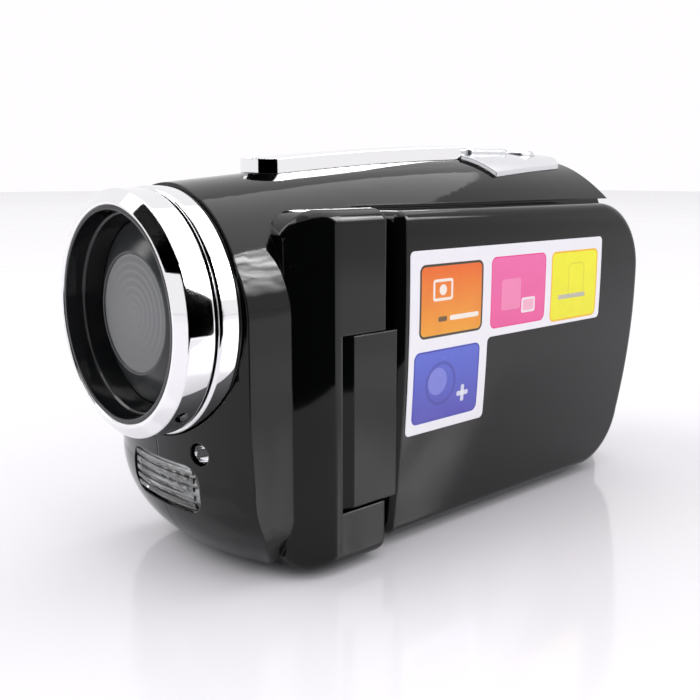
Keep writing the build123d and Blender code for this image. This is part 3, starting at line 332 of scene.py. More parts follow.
def surface(
    name, colour, rough, metal=0.0, grain=2500.0, depth=0.00001, edge=0.0002, smear=0.1, dust=0.3,
    lift=1.5, coat=0.0, ior=1.45, scale=60.0, tone=None,
):
    """A finish with grain, smears, dust, slightly rounded edges and a painted highlight along the edges."""
    material, tree, shader = blank_finish(name)
    place = object_place(tree)
    marks = use(tree, effect("handling"), {"Place": place, "Scale": scale})
    corner = use(tree, effect("soft_edge"), {"Radius": edge})
    height = use(tree, effect("grain"), {"Place": place, "Scale": grain})["Height"]
    ground = tone(tree, place) if tone else opaque(colour)
    # Edges painted lighter by lift: a painted highlight along every edge, mixed over the ground colour.
    lighter = opaque([min(1.0, c * lift + 0.002) for c in colour])
    painted_edge_highlight = blend_colours(tree, sum_up(tree, "MULTIPLY", corner["Edge"], 0.6), ground, lighter)
    powder = blend_colours(tree, sum_up(tree, "MULTIPLY", marks["Dust"], dust), painted_edge_highlight, (0.45, 0.44, 0.42))
    join(tree, powder, shader.inputs["Base Color"])
    smeared = sum_up(tree, "MULTIPLY_ADD", marks["Smear"], smear * rough + 0.02 * smear, rough)
    join(tree, sum_up(tree, "MULTIPLY_ADD", marks["Dust"], 0.3 * dust, smeared, clamp=True), shader.inputs["Roughness"])
    shader.inputs["Metallic"].default_value = metal
    shader.inputs["IOR"].default_value = ior
    shader.inputs["Coat Weight"].default_value = coat
    shader.inputs["Coat Roughness"].default_value = 0.03
    bump = put(
        tree, "ShaderNodeBump",
        {"Height": height, "Distance": depth, "Strength": 0.35, "Normal": corner["Normal"]},
    )
    join(tree, bump.outputs[0], shader.inputs["Normal"])
    return material


def board_tone(tree, place):
    """Green solder mask with paler tracks and round pads."""
    split = put(tree, "ShaderNodeSeparateXYZ", {0: place}).outputs
    lanes = []
    for axis, pitch in (("Y", 900.0), ("Z", 1150.0)):
        wave = sum_up(tree, "SINE", sum_up(tree, "MULTIPLY", split[axis], pitch * FULL_TURN))
        lanes.append(fit(tree, wave, (0.55, 0.7), (0.0, 1.0)))
    chooser = put(tree, "ShaderNodeTexVoronoi", {"Vector": place, "Scale": 160.0}).outputs["Color"]
    pick = sum_up(tree, "GREATER_THAN", put(tree, "ShaderNodeSeparateColor", {0: chooser}).outputs[0], 0.5)
    track = sum_up(tree, "MAXIMUM", sum_up(tree, "MULTIPLY", lanes[0], pick), sum_up(tree, "MULTIPLY", lanes[1], sum_up(tree, "SUBTRACT", 1.0, pick)))
    masked = blend_colours(tree, sum_up(tree, "MULTIPLY", track, 0.7), (0.008, 0.10, 0.035), (0.03, 0.24, 0.08))
    pads = put(tree, "ShaderNodeTexVoronoi", {"Vector": place, "Scale": 420.0}).outputs["Distance"]
    return blend_colours(tree, sum_up(tree, "LESS_THAN", pads, 0.16), masked, (0.55, 0.52, 0.42))


# Plain marks on the keys: key, its two shapes as (aside, up, width, height, corner, rim), in millimetres.
KEY_MARKS = {
    "ok_key": [(0, 0, 2.8, 2.8, 1.4, 0.25)],
    "up_key": [(0, 0.35, 1.8, 0.35, 0.1, 0), (0, 0, 0.35, 1.6, 0.1, 0)],
    "down_key": [(0, 0, 1.8, 0.35, 0.1, 0)],
    "menu_key": [(0, 0.45, 2.0, 0.3, 0.1, 0), (0, -0.45, 2.0, 0.3, 0.1, 0)],
    "play_key": [(0, 0, 1.7, 1.7, 0.3, 0.25)],
    "power_key": [(0, -0.1, 1.9, 1.9, 0.95, 0.28), (0, 0.8, 0.3, 1.1, 0.1, 0)],
    "mode_key": [(-0.3, -0.2, 1.7, 1.3, 0.25, 0.22), (0.35, 0.4, 1.7, 1.3, 0.25, 0.22)],
}


def key_tone(tree, place):
    """Black keys with small pale marks, on the bay side and on the back."""
    split = put(tree, "ShaderNodeSeparateXYZ", {0: place}).outputs
    turned = put(tree, "ShaderNodeCombineXYZ", {"Y": split["X"], "Z": split["Z"]}).outputs[0]
    ground = opaque((0.012, 0.012, 0.013))
    for key, shapes in KEY_MARKS.items():
        centre = middle(key)
        rear = key in ("power_key", "mode_key")
        for aside, up, wide, tall, corner, rim in shapes:
            mask = use(tree, effect("tile"), {
                "Place": turned if rear else place, "Along": (centre.x if rear else centre.y) + aside * MM,
                "Up": centre.z + up * MM, "Wide": wide * MM, "Tall": tall * MM, "Corner": corner * MM,
                "Rim": (rim or 1) * MM,
            })
            side = sum_up(tree, "GREATER_THAN", split["Y"], 0.045)
            side = side if rear else sum_up(tree, "SUBTRACT", 1.0, side)
            shape = sum_up(tree, "MULTIPLY", mask["Rim"] if rim else mask["Fill"], side)
            ground = blend_colours(tree, shape, ground, (0.52, 0.53, 0.55))
    return ground


def sleeve_tone(tree, place):
    """A plain cell sleeve: dark body with a light band at one end."""
    along = put(tree, "ShaderNodeSeparateXYZ", {0: place}).outputs["Y"]
    band = sum_up(tree, "GREATER_THAN", along, low("cells").y + (high("cells").y - low("cells").y) * 0.72)
    return blend_colours(tree, band, (0.02, 0.022, 0.025), (0.62, 0.42, 0.10))


def paper_tone(tree, place):
    """The label's ground, its four coloured tiles and their plain marks."""
    colours = bpy.context.scene.finish_colours
    split = put(tree, "ShaderNodeSeparateXYZ", {0: place}).outputs
    mottle = put(tree, "ShaderNodeTexNoise", {"Vector": place, "Scale": 220.0, "Detail": 4.0}).outputs[0]
    ground = blend_colours(tree, fit(tree, mottle, (0.3, 0.7), (0.0, 0.12)), opaque(colours.paper), (0.74, 0.70, 0.80))
    for y0, y1, z0, z1, bottom, top, rim, rim_wide in LABEL_TILES:
        up = fit(tree, split["Z"], (z0 * MM, z1 * MM), (0.0, 1.0))
        shaded = blend_colours(tree, up, bottom, top)
        cloudy = blend_colours(tree, fit(tree, mottle, (0.45, 0.75), (0.0, 0.25)), shaded, [c * 0.8 for c in top])
        mask = use(tree, effect("tile"), {
            "Place": place, "Along": (y0 + y1) / 2 * MM, "Up": (z0 + z1) / 2 * MM, "Wide": (y1 - y0) * MM,
            "Tall": (z1 - z0) * MM, "Corner": TILE_CORNER * MM, "Rim": rim_wide * MM,
        })
        ground = blend_colours(tree, mask["Fill"], ground, cloudy)
        ground = blend_colours(tree, mask["Rim"], ground, rim)
    for along, up, wide, tall, corner, rim, share, colour in LABEL_MARKS:
        mask = use(tree, effect("tile"), {
            "Place": place, "Along": along * MM, "Up": up * MM, "Wide": wide * MM, "Tall": tall * MM,
            "Corner": corner * MM, "Rim": (rim or 1) * MM,
        })
        shape = mask["Rim"] if rim else mask["Fill"]
        ground = blend_colours(tree, sum_up(tree, "MULTIPLY", shape, share), ground, colour)
    return ground


# Tiles of the label in millimetres: front, rear, bottom, top, colours at bottom and top, rim colour and width.
TILE_CORNER = 1.2
LABEL_TILES = [
    (-9.9, 5.1, 33.2, 44.7, (0.86, 0.36, 0.02), (0.83, 0.13, 0.012), (0.03, 0.035, 0.02), 0.38),
    (7.2, 22.2, 33.0, 44.9, (0.83, 0.10, 0.33), (0.86, 0.15, 0.40), (0.80, 0.05, 0.26), 0.20),
    (23.9, 38.3, 32.3, 44.8, (0.86, 0.80, 0.01), (0.90, 0.86, 0.02), (0.86, 0.48, 0.02), 0.32),
    (-10.8, 4.8, 19.6, 31.2, (0.07, 0.055, 0.42), (0.10, 0.14, 0.62), (0.045, 0.05, 0.40), 0.28),
]
# Plain marks on the tiles: place along and up, width, height, corner, rim width (0 is filled), strength, colour.
LABEL_MARKS = [
    (-4.6, 40.6, 4.6, 3.4, 0.5, 0.45, 0.9, (0.90, 0.86, 0.80)),
    (-4.6, 40.6, 1.7, 1.7, 0.85, 0, 0.9, (0.90, 0.86, 0.80)),
    (0.6, 36.0, 7.0, 0.8, 0.3, 0, 0.9, (0.90, 0.86, 0.80)),
    (-4.6, 36.0, 2.0, 0.8, 0.3, 0, 0.9, (0.06, 0.05, 0.03)),
    (12.6, 38.4, 5.2, 5.2, 0.6, 0, 0.35, (0.95, 0.45, 0.62)),
    (17.4, 36.2, 3.8, 2.6, 0.4, 0.4, 0.85, (0.90, 0.88, 0.88)),
    (31.6, 39.4, 5.0, 6.4, 1.3, 0.25, 0.55, (0.60, 0.55, 0.03)),
    (30.4, 36.6, 8.4, 0.8, 0.3, 0, 0.8, (0.42, 0.40, 0.46)),
    (-4.4, 25.6, 7.2, 7.2, 3.6, 0.55, 0.45, (0.03, 0.03, 0.25)),
    (-5.2, 26.0, 4.4, 4.4, 2.2, 0, 0.45, (0.32, 0.34, 0.80)),
    (1.0, 23.2, 2.8, 0.8, 0.3, 0, 0.8, (0.80, 0.80, 0.86)),
    (1.0, 23.2, 0.8, 2.8, 0.3, 0, 0.8, (0.80, 0.80, 0.86)),
]


def window_finish():
    """The pale lens window: clear moulding over stepped rings, a soft grey, a little darker towards the rim, with faint
    rings painted lighter towards the upper right as a painted highlight.
    """
    material, tree, shader = blank_finish("pale_window")
    place = object_place(tree)
    split = put(tree, "ShaderNodeSeparateXYZ", {0: place}).outputs
    across = split["X"]
    up = sum_up(tree, "SUBTRACT", split["Z"], LENS_HEIGHT)
    away = sum_up(tree, "SQRT", sum_up(tree, "ADD", sum_up(tree, "MULTIPLY", across, across), sum_up(tree, "MULTIPLY", up, up)))
    ripple = sum_up(tree, "SINE", sum_up(tree, "MULTIPLY", away, FULL_TURN / (1.15 * MM)))
    tone = fit(tree, away, (0.0, high("lens_window").x), (0.0, 1.0))
    grey = blend_colours(tree, tone, (0.125, 0.130, 0.134), (0.100, 0.104, 0.107))
    # Faint rings painted lighter only towards the upper right: a painted highlight where light catches the steps.
    side = fit(tree, sum_up(tree, "ADD", across, up), (-0.003, 0.007), (0.0, 1.0))
    rings = sum_up(tree, "MULTIPLY", fit(tree, ripple, (-0.2, 1.0), (0.0, 0.30)), side)
    join(tree, blend_colours(tree, rings, grey, (0.24, 0.25, 0.255)), shader.inputs["Base Color"])
    marks = use(tree, effect("handling"), {"Place": place, "Scale": 90.0})
    join(tree, sum_up(tree, "MULTIPLY_ADD", marks["Smear"], 0.06, 0.22), shader.inputs["Roughness"])
    shader.inputs["IOR"].default_value = 1.46
    shader.inputs["Coat Weight"].default_value = 0.15
    return material


def clear_finish(name, tint, rough, ior=1.49):
    """Clear plastic or glass, with faint smears."""
    material, tree, shader = blank_finish(name)
    marks = use(tree, effect("handling"), {"Place": object_place(tree), "Scale": 120.0})
    join(tree, sum_up(tree, "MULTIPLY_ADD", marks["Smear"], 0.05, rough), shader.inputs["Roughness"])
    shader.inputs["Base Color"].default_value = opaque(tint)
    shader.inputs["IOR"].default_value = ior
    shader.inputs["Transmission Weight"].default_value = 1.0
    return material


def finishes():
    """The finish for each material slot of the record."""
    colours = bpy.context.scene.finish_colours
    return {
        "gloss_casing": surface(
            "gloss_casing", colours.casing, 0.045, grain=900.0, depth=0.000002, edge=0.00032, smear=0.5, dust=0.25,
            lift=3.0, ior=1.37,
        ),
        "bright_chrome": surface(
            "bright_chrome", colours.chrome, 0.035, metal=1.0, grain=1500.0, depth=0.000001, edge=0.0002, smear=0.6,
            dust=0.1, lift=1.05,
        ),
        "satin_silver": surface(
            "satin_silver", colours.silver, 0.16, metal=0.9, grain=4000.0, depth=0.000004, edge=0.0003, smear=0.3,
            dust=0.2, lift=1.1,
        ),
        "hood_black": surface(
            "hood_black", (0.006, 0.0065, 0.007), 0.07, grain=1500.0, depth=0.000002, edge=0.0003, smear=0.4,
            ior=1.45,
        ),
        "mask_grey": surface(
            "mask_grey", colours.mask, 0.22, grain=3500.0, depth=0.000004, edge=0.0003, smear=0.3, ior=1.45,
        ),
        "pale_window": window_finish(),
        "optic_glass": clear_finish("optic_glass", (0.92, 0.95, 0.98), 0.01, 1.6),
        "lamp_clear": clear_finish("lamp_clear", (0.80, 0.82, 0.82), 0.04),
        "inner_black": surface("inner_black", (0.010, 0.010, 0.011), 0.42, grain=3000.0, depth=0.00002),
        "reflector": surface("reflector", (0.80, 0.80, 0.79), 0.22, metal=0.8, grain=3000.0, depth=0.00001),
        "board_green": surface(
            "board_green", (0.01, 0.12, 0.04), 0.30, grain=3000.0, depth=0.00002, tone=board_tone, ior=1.5,
        ),
        "chip_black": surface("chip_black", (0.014, 0.014, 0.015), 0.48, grain=5000.0, depth=0.00001),
        "steel": surface("steel", (0.58, 0.58, 0.57), 0.26, metal=1.0, grain=3500.0, depth=0.00001, lift=1.2),
        "brass": surface("brass", (0.72, 0.50, 0.20), 0.24, metal=1.0, grain=3000.0, depth=0.00001, lift=1.2),
        "key_silver": surface(
            "key_silver", (0.66, 0.67, 0.69), 0.2, metal=0.9, grain=4000.0, depth=0.000004, lift=1.15,
        ),
        "key_black": surface(
            "key_black", (0.012, 0.012, 0.013), 0.22, grain=2500.0, depth=0.000006, tone=key_tone,
        ),
        "label_film": surface(
            "label_film", colours.paper, 0.20, grain=1800.0, depth=0.000004, tone=paper_tone, smear=0.4, dust=0.1,
            edge=0.0001, lift=1.0,
        ),
        "screen_glass": surface(
            "screen_glass", (0.004, 0.004, 0.005), 0.03, grain=900.0, depth=0.000001, smear=0.6, ior=1.52,
        ),
        "display_grey": surface("display_grey", (0.05, 0.055, 0.06), 0.18, grain=4000.0, depth=0.000004),
        "cell_sleeve": surface(
            "cell_sleeve", (0.03, 0.03, 0.032), 0.22, grain=2500.0, depth=0.000004, tone=sleeve_tone,
        ),
        "cover_rubber": surface(
            "cover_rubber", (0.014, 0.014, 0.015), 0.45, grain=2600.0, depth=0.00002, smear=0.4,
        ),
        "led_dome": clear_finish("led_dome", (0.86, 0.86, 0.80), 0.05, 1.5),
    }


# ---- making and finishing pieces --------------------------------------------------------------
def deselect():
    """Leaves nothing selected, in object mode."""
    if bpy.context.object and bpy.context.object.mode != "OBJECT":
        bpy.ops.object.mode_set(mode="OBJECT")
    bpy.ops.object.select_all(action="DESELECT")


def coat_nodes(*nodes):
    """Gives carried-over CAD nodes the finish of their own slot."""
    for name in nodes:
        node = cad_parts[name]
        for slot in node.material_slots:
            key = slot.material.name.split(".")[0]
            slot.material = FINISHES[key]


FINISHES = {}


def settle(piece, name, body, slot, *nodes):
    """Names a finished piece, gives it its finish and hands it to the frame."""
    piece.name = name
    piece.data.name = name
    piece.data.materials.clear()
    piece.data.materials.append(FINISHES[slot])
    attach(piece, body)
    if nodes:
        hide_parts(*nodes)
    return piece


def round_edges(piece, width, angle):
    """Rounds the edges sharper than the angle and smooths the rest."""
    bevel = piece.modifiers.new("Rounding", "BEVEL")
    bevel.width = width
    bevel.segments = 3
    bevel.limit_method = "ANGLE"
    bevel.angle_limit = angle
    bevel.harden_normals = True
    bpy.ops.object.shade_smooth()
    bpy.ops.object.modifier_apply(modifier=bevel.name)


def turned_ring(outline):
    """A closed ring about the lens axis, extruded round its outline of (radius, place along the axis)."""
    deselect()
    radius, along = outline[0]
    bpy.ops.mesh.primitive_circle_add(
        vertices=bpy.context.scene.lens_sizes.around, radius=radius, location=(0, along, LENS_HEIGHT),
        rotation=(math.pi / 2, 0, 0),
    )
    bpy.ops.object.transform_apply(location=True, rotation=True, scale=True)
    bpy.ops.object.mode_set(mode="EDIT")
    bpy.ops.mesh.select_mode(type="VERT")
    bpy.ops.mesh.select_all(action="SELECT")
    for next_radius, next_along in outline[1:] + outline[:1]:
        bpy.ops.mesh.extrude_region_move(TRANSFORM_OT_translate={"value": (0, next_along - along, 0)})
        share = next_radius / radius
        bpy.ops.transform.resize(value=(share, 1, share), center_override=(0, next_along, LENS_HEIGHT))
        radius, along = next_radius, next_along
    bpy.ops.mesh.select_all(action="SELECT")
    bpy.ops.mesh.remove_doubles(threshold=0.002 * MM)
    bpy.ops.mesh.normals_make_consistent(inside=False)
    bpy.ops.object.mode_set(mode="OBJECT")
    return bpy.context.object


def rolled(centre, along, radius, start, end, parts):
    """Outline points round a rolled lip, from one angle to another about its centre."""
    turns = [start + (end - start) * i / parts for i in range(parts + 1)]
    return [(centre + radius * math.cos(turn), along - radius * math.sin(turn)) for turn in turns]


class CAMCORDER_OT_rings(bpy.types.Operator):
    """Turn the chrome hood with its rolled lip and the chrome ring behind it"""

    bl_idname = "camcorder.rings"
    bl_label = "Chrome rings"

    def execute(self, context):
        sizes = context.scene.lens_sizes
        seat = high("hood_liner").x + 0.05 * MM
        outer, rear = high("hood_ring").x, high("hood_ring").y
        bore = high("hood_liner").x - 0.95 * MM
        lip = sizes.lip
        front = rolled(bore + lip, LENS_FRONT + lip, lip, math.pi, math.radians(52), 8)
        hood = turned_ring(front + [
            (outer, LENS_FRONT + sizes.cone), (outer, rear - 0.3 * MM), (outer - 0.3 * MM, rear), (seat, rear),
            (seat, LENS_FRONT + 3.2 * MM), (bore, LENS_FRONT + 2.6 * MM),
        ])
        round_edges(hood, sizes.edge, math.radians(25))
        settle(hood, "hood_shell", "camera", "bright_chrome", "hood_ring")
        wide, near, far = high("trim_ring").x, low("trim_ring").y, high("trim_ring").y
        trim = turned_ring([
            (seat, near), (wide - 0.3 * MM, near), (wide, near + 0.3 * MM), (wide, far - 0.3 * MM),
            (wide - 0.3 * MM, far), (seat, far),
        ])
        round_edges(trim, sizes.edge, math.radians(25))
        settle(trim, "trim_shell", "camera", "bright_chrome", "trim_ring")
        return {"FINISHED"}


class CAMCORDER_OT_lens_window(bpy.types.Operator):
    """Press the pale lens window with its faint concentric steps"""

    bl_idname = "camcorder.lens_window"
    bl_label = "Lens window"

    def execute(self, context):
        sizes = context.scene.lens_sizes
        near, far = low("lens_window").y, high("lens_window").y
        radius = high("lens_window").x
        deselect()
        bpy.ops.mesh.primitive_cylinder_add(
            vertices=sizes.around, radius=radius, depth=far - near - 0.25 * MM, rotation=(math.pi / 2, 0, 0),
            location=(0, (far + near + 0.25 * MM) / 2, LENS_HEIGHT),
        )
        bpy.ops.object.transform_apply(location=True, rotation=True, scale=True)
        window = context.object
        for face in window.data.polygons:
            face.select = face.normal.y < -0.9
        bpy.ops.object.mode_set(mode="EDIT")
        bpy.ops.mesh.select_mode(type="FACE")
        bpy.ops.mesh.inset(thickness=0.25 * MM, depth=0.12 * MM)
        pitch = (radius - 0.6 * MM) / (sizes.steps + 1)
        for _ in range(sizes.steps):
            bpy.ops.mesh.inset(thickness=pitch - 0.12 * MM, depth=0.010 * MM)
            bpy.ops.mesh.inset(thickness=0.12 * MM, depth=-0.006 * MM)
        bpy.ops.mesh.select_mode(type="VERT")
        bpy.ops.object.mode_set(mode="OBJECT")
        bpy.ops.object.shade_smooth_by_angle(angle=math.radians(40))
        settle(window, "window_shell", "camera", "pale_window", "lens_window")
        return {"FINISHED"}


# ---- stage ----------------------------------------------------------------------------------------
def floor_finish():
    """Glossy white board under the object."""
    material, tree, shader = blank_finish("floor_board")
    place = object_place(tree)
    marks = use(tree, effect("grain"), {"Place": place, "Scale": 14.0})
    tone = fit(tree, marks["Height"], (0.5, 1.2), (0.0, 0.15))
    join(tree, blend_colours(tree, tone, (0.86, 0.835, 0.86), (0.82, 0.80, 0.83)), shader.inputs["Base Color"])
    away = put(tree, "ShaderNodeVectorMath", {0: place}, operation="LENGTH").outputs["Value"]
    near = fit(tree, away, FLOOR_POLISHED, (0.0, 0.45))
    dull = sum_up(tree, "MULTIPLY", near, fit(tree, away, FLOOR_DULL_END, (1.0, 0.0)))
    fine = fit(tree, marks["Height"], (0.5, 1.2), (0.10, 0.13))
    join(tree, sum_up(tree, "ADD", fine, dull), shader.inputs["Roughness"])
    shader.inputs["IOR"].default_value = 1.42
    return material


def studio_world():
    """White paper all round for the camera and for reflections, and a softer light for the rest."""
    world = bpy.data.worlds.new("studio")
    bpy.context.scene.world = world
    world.use_nodes = True
    tree = world.node_tree
    tree.nodes.clear()
    rays = put(tree, "ShaderNodeLightPath").outputs
    seen = sum_up(tree, "MAXIMUM", rays["Is Camera Ray"], sum_up(tree, "MAXIMUM", rays["Is Glossy Ray"], rays["Is Transmission Ray"]))
    light = put(tree, "ShaderNodeBackground", {"Color": (0.95, 0.96, 1.0, 1.0), "Strength": 0.62}).outputs[0]
    paper = put(tree, "ShaderNodeBackground", {"Color": (1.0, 0.985, 1.0, 1.0), "Strength": 1.0}).outputs[0]
    mixed = put(tree, "ShaderNodeMixShader", {0: seen, 1: light, 2: paper}).outputs[0]
    put(tree, "ShaderNodeOutputWorld", {"Surface": mixed})


def curved_card(name, material, turn_from, turn_to, reach, foot, tall):
    """A curved upright card about the object that only reflections see."""
    deselect()
    bpy.ops.mesh.primitive_circle_add(vertices=180, radius=reach, location=(0, 0, foot))
    card = bpy.context.object
    card.name = name
    bpy.ops.object.mode_set(mode="EDIT")
    bpy.ops.mesh.select_mode(type="VERT")
    bpy.ops.mesh.select_all(action="SELECT")
    bpy.ops.mesh.extrude_region_move(TRANSFORM_OT_translate={"value": (0, 0, tall)})
    bpy.ops.mesh.select_all(action="DESELECT")
    bpy.ops.object.mode_set(mode="OBJECT")
    for face in card.data.polygons:
        turn = math.atan2(face.center.x, -face.center.y)
        face.select = not turn_from < turn < turn_to
    bpy.ops.object.mode_set(mode="EDIT")
    bpy.ops.mesh.select_mode(type="FACE")
    bpy.ops.mesh.delete(type="FACE")
    bpy.ops.mesh.select_mode(type="VERT")
    bpy.ops.object.mode_set(mode="OBJECT")
    card.data.materials.append(material)
    for ray in ("camera", "diffuse", "shadow", "transmission", "volume_scatter"):
        setattr(card, "visible_" + ray, False)
    return card


def black_cloth():
    """Matt black cloth for the dark card."""
    material, tree, shader = blank_finish("black_cloth")
    cloth = use(tree, effect("grain"), {"Place": object_place(tree), "Scale": 300.0})["Height"]
    join(tree, fit(tree, cloth, (0.4, 1.3), (0.85, 1.0)), shader.inputs["Roughness"])
    shader.inputs["Base Color"].default_value = (0, 0, 0, 1)
    shader.inputs["Specular IOR Level"].default_value = 0.0
    return material


def lit_cloth():
    """Crumpled white cloth lit from behind, brighter in its folds."""
    material, tree, shader = blank_finish("lit_cloth")
    place = object_place(tree)
    narrow = put(tree, "ShaderNodeMapping", {"Vector": place, "Scale": (6.0, 6.0, 1.2)}).outputs[0]
    folds = put(
        tree, "ShaderNodeTexNoise",
        {"Vector": narrow, "Scale": 4.0, "Detail": 4.0, "Roughness": 0.6, "Distortion": 1.2},
    ).outputs[0]
    height = put(tree, "ShaderNodeSeparateXYZ", {0: place}).outputs["Z"]
    fade = sum_up(
        tree, "MULTIPLY", fit(tree, height, BOX_FOOT_FADE, (0.0, 1.0)), fit(tree, height, BOX_HEAD_FADE, (1.0, 0.0))
    )
    glow = sum_up(tree, "MULTIPLY", fit(tree, folds, (0.38, 0.64), (0.12, 1.0)), fade)
    paper = [1 / BOX_STRENGTH] * 3
    join(tree, blend_colours(tree, glow, paper, (1.0, 0.99, 1.0)), shader.inputs["Emission Color"])
    shader.inputs["Emission Strength"].default_value = BOX_STRENGTH
    shader.inputs["Base Color"].default_value = (0, 0, 0, 1)
    shader.inputs["Specular IOR Level"].default_value = 0.0
    return material


def lamp(name, place, aim, size, power):
    """A soft square lamp that looks at a point."""
    light = bpy.data.lights.new(name, "AREA")
    light.shape = "RECTANGLE"
    light.size, light.size_y = size
    light.energy = power
    holder = bpy.data.objects.new(name, light)
    holder.location = place
    holder.rotation_euler = (Vector(aim) - Vector(place)).to_track_quat("-Z", "Y").to_euler()
    bpy.context.scene.collection.objects.link(holder)
    return holder


FLOOR_POLISHED = (0.085, 0.18)
FLOOR_DULL_END = (0.25, 0.60)
CAMERA_PLACE = (0.11488, -0.11059, 0.05815)
# Cards about the object: from and to which turn from the front, distance, foot and height.
DARK_CARD = (math.radians(18), math.radians(104), 0.134, 0.0, 0.19)
DARK_BROW = (math.radians(-28), math.radians(18), 0.134, 0.075, 0.115)
LIT_CARD = (math.radians(121), math.radians(143), 0.9, 0.10, 0.74)
BOX_FOOT_FADE = (0.10, 0.33)
BOX_HEAD_FADE = (0.74, 0.84)
BOX_STRENGTH = 28.0


class CAMCORDER_OT_stage(bpy.types.Operator):
    """Lay the floor, set the lamps and stand the camera"""

    bl_idname = "camcorder.stage"
    bl_label = "Stage"

    def execute(self, context):
        sizes = context.scene.stage_sizes
        deselect()
        bpy.ops.mesh.primitive_plane_add(size=sizes.floor, location=(0, 0, low("left_casing").z - 0.0001))
        floor = context.object
        floor.name = "floor"
        floor.data.materials.append(floor_finish())
        studio_world()
        cloth = black_cloth()
        curved_card("dark_card", cloth, *DARK_CARD)
        curved_card("dark_brow", cloth, *DARK_BROW)
        curved_card("lit_card", lit_cloth(), *LIT_CARD)
        lamp("key", (-0.55, -0.75, 0.9), (0, 0, 0.02), (0.9, 0.9), 7.0)
        lamp("top", (0.1, 0.35, 1.1), (0, 0, 0), (1.2, 1.2), 6.0)
        lamp("side", (1.1, 0.2, 0.7), (0, 0, 0.03), (0.8, 0.8), 4.0)
        camera = bpy.data.objects.new("camera", bpy.data.cameras.new("camera"))
        camera.data.lens = sizes.lens
        camera.data.clip_start = 0.005
        camera.location = CAMERA_PLACE
        camera.rotation_euler = (math.pi / 2 - sizes.tilt, 0, sizes.turn)
        context.scene.collection.objects.link(camera)
        context.scene.camera = camera
        context.scene.view_settings.view_transform = "Standard"
        return {"FINISHED"}


class CAMCORDER_OT_finishes(bpy.types.Operator):
    """Mix the finishes that the pieces are coated with"""

    bl_idname = "camcorder.finishes"
    bl_label = "Finishes"

    def execute(self, context):
        FINISHES.update(finishes())
        return {"FINISHED"}


class CAMCORDER_OT_casing(bpy.types.Operator):
    """Lacquer the two casing halves and finish their screws"""

    bl_idname = "camcorder.casing"
    bl_label = "Casing"

    def execute(self, context):
        coat_nodes(
            "left_casing", "right_casing", "case_screws", "battery_door", "tripod_bush", "strap_bar",
        )
        return {"FINISHED"}


class CAMCORDER_OT_lens(bpy.types.Operator):
    """Finish the tube, liner and mask round the lens and the works behind it"""

    bl_idname = "camcorder.lens"
    bl_label = "Lens"

    def execute(self, context):
        coat_nodes(
            "lens_tube", "hood_liner", "lens_mask", "lens_barrel", "lens_elements", "lens_holder",
            "sensor_board", "image_sensor",
        )
        return {"FINISHED"}


class CAMCORDER_OT_lamp(bpy.types.Operator):
    """Finish the lamp in the chin and the little window beside it"""

    bl_idname = "camcorder.lamp"
    bl_label = "Lamp"

    def execute(self, context):
        coat_nodes("lamp_window", "lamp_tray", "lamp_diodes", "lamp_board", "spot_window", "microphone")
        return {"FINISHED"}


class CAMCORDER_OT_top(bpy.types.Operator):
    """Plate the bar, pad, rocker and shutter key on the top"""

    bl_idname = "camcorder.top"
    bl_label = "Top"

    def execute(self, context):
        coat_nodes("top_bar", "top_pad", "zoom_rocker", "shutter_key")
        return {"FINISHED"}


class CAMCORDER_OT_keys(bpy.types.Operator):
    """Mould the keys on the back and in the screen bay, with their plain marks"""

    bl_idname = "camcorder.keys"
    bl_label = "Keys"

    def execute(self, context):
        coat_nodes("power_key", "mode_key", "ok_key", "menu_key", "up_key", "play_key", "down_key")
        return {"FINISHED"}


class CAMCORDER_OT_screen(bpy.types.Operator):
    """Finish the screen panel from its cover to its pane"""

    bl_idname = "camcorder.screen"
    bl_label = "Screen"

    def execute(self, context):
        coat_nodes("screen_cover", "screen_bezel", "screen_pane", "display", "display_board")
        return {"FINISHED"}


class CAMCORDER_OT_label(bpy.types.Operator):
    """Print the label on the panel"""

    bl_idname = "camcorder.label"
    bl_label = "Label"

    def execute(self, context):
        coat_nodes("panel_label")
        return {"FINISHED"}


class CAMCORDER_OT_hinge(bpy.types.Operator):
    """Finish the knuckle and shafts that the screen turns on"""

    bl_idname = "camcorder.hinge"
    bl_label = "Hinge"

    def execute(self, context):
        coat_nodes("hinge_knuckle", "hinge_pin", "knuckle_shaft", "shaft_collar")
        return {"FINISHED"}


class CAMCORDER_OT_battery(bpy.types.Operator):
    """Finish the battery tray, cells and contacts"""

    bl_idname = "camcorder.battery"
    bl_label = "Battery"

    def execute(self, context):
        coat_nodes("battery_tray", "cells", "cell_contacts", "door_pin")
        return {"FINISHED"}


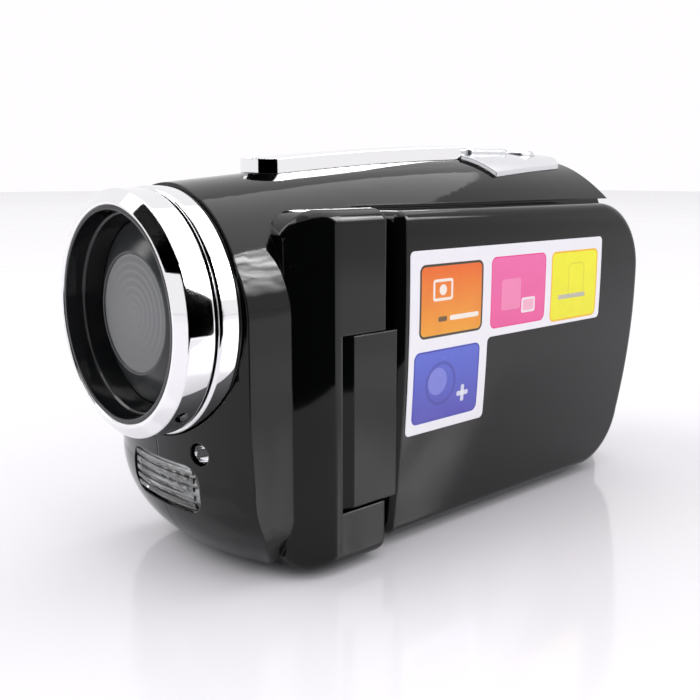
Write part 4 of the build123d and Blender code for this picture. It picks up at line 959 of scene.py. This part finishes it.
class CAMCORDER_OT_ports(bpy.types.Operator):
    """Finish the rear cover and the sockets behind it"""

    bl_idname = "camcorder.ports"
    bl_label = "Ports"

    def execute(self, context):
        coat_nodes("port_cover", "port_frame", "cover_pin", "data_socket", "picture_jack", "card_socket")
        return {"FINISHED"}


class CAMCORDER_OT_boards(bpy.types.Operator):
    """Finish the boards, switches and speaker inside"""

    bl_idname = "camcorder.boards"
    bl_label = "Boards"

    def execute(self, context):
        coat_nodes("main_board", "board_chips", "top_board", "rear_board", "tact_switches", "speaker")
        return {"FINISHED"}


class CAMCORDER_PT_sidebar(bpy.types.Panel):
    """Everything that makes the camcorder"""

    bl_idname = "CAMCORDER_PT_sidebar"
    bl_label = "Camcorder"
    bl_space_type = "VIEW_3D"
    bl_region_type = "UI"
    bl_category = "Camcorder"

    def draw(self, context):
        for step in STEPS:
            self.layout.operator(step.bl_idname)


STEPS = [
    CAMCORDER_OT_finishes, CAMCORDER_OT_casing, CAMCORDER_OT_lens, CAMCORDER_OT_rings, CAMCORDER_OT_lens_window,
    CAMCORDER_OT_lamp, CAMCORDER_OT_top, CAMCORDER_OT_keys, CAMCORDER_OT_screen, CAMCORDER_OT_label,
    CAMCORDER_OT_hinge, CAMCORDER_OT_battery, CAMCORDER_OT_ports, CAMCORDER_OT_boards, CAMCORDER_OT_stage,
]
GROUPS = {"finish_colours": FinishColours, "lens_sizes": LensSizes, "stage_sizes": StageSizes}


def register():
    """Registers the classes and hangs the settings on the scene."""
    for thing in (*GROUPS.values(), *STEPS, CAMCORDER_PT_sidebar):
        bpy.utils.register_class(thing)
    for name, group in GROUPS.items():
        setattr(bpy.types.Scene, name, PointerProperty(type=group))


def unregister():
    """Takes back what register did."""
    for name in GROUPS:
        delattr(bpy.types.Scene, name)
    for thing in (CAMCORDER_PT_sidebar, *reversed(STEPS), *GROUPS.values()):
        bpy.utils.unregister_class(thing)


def main():
    """Builds everything in order."""
    register()
    for step in STEPS:
        family, name = step.bl_idname.split(".")
        getattr(getattr(bpy.ops, family), name)()
    bpy.context.view_layer.update()


if __name__ == "__main__":
    main()
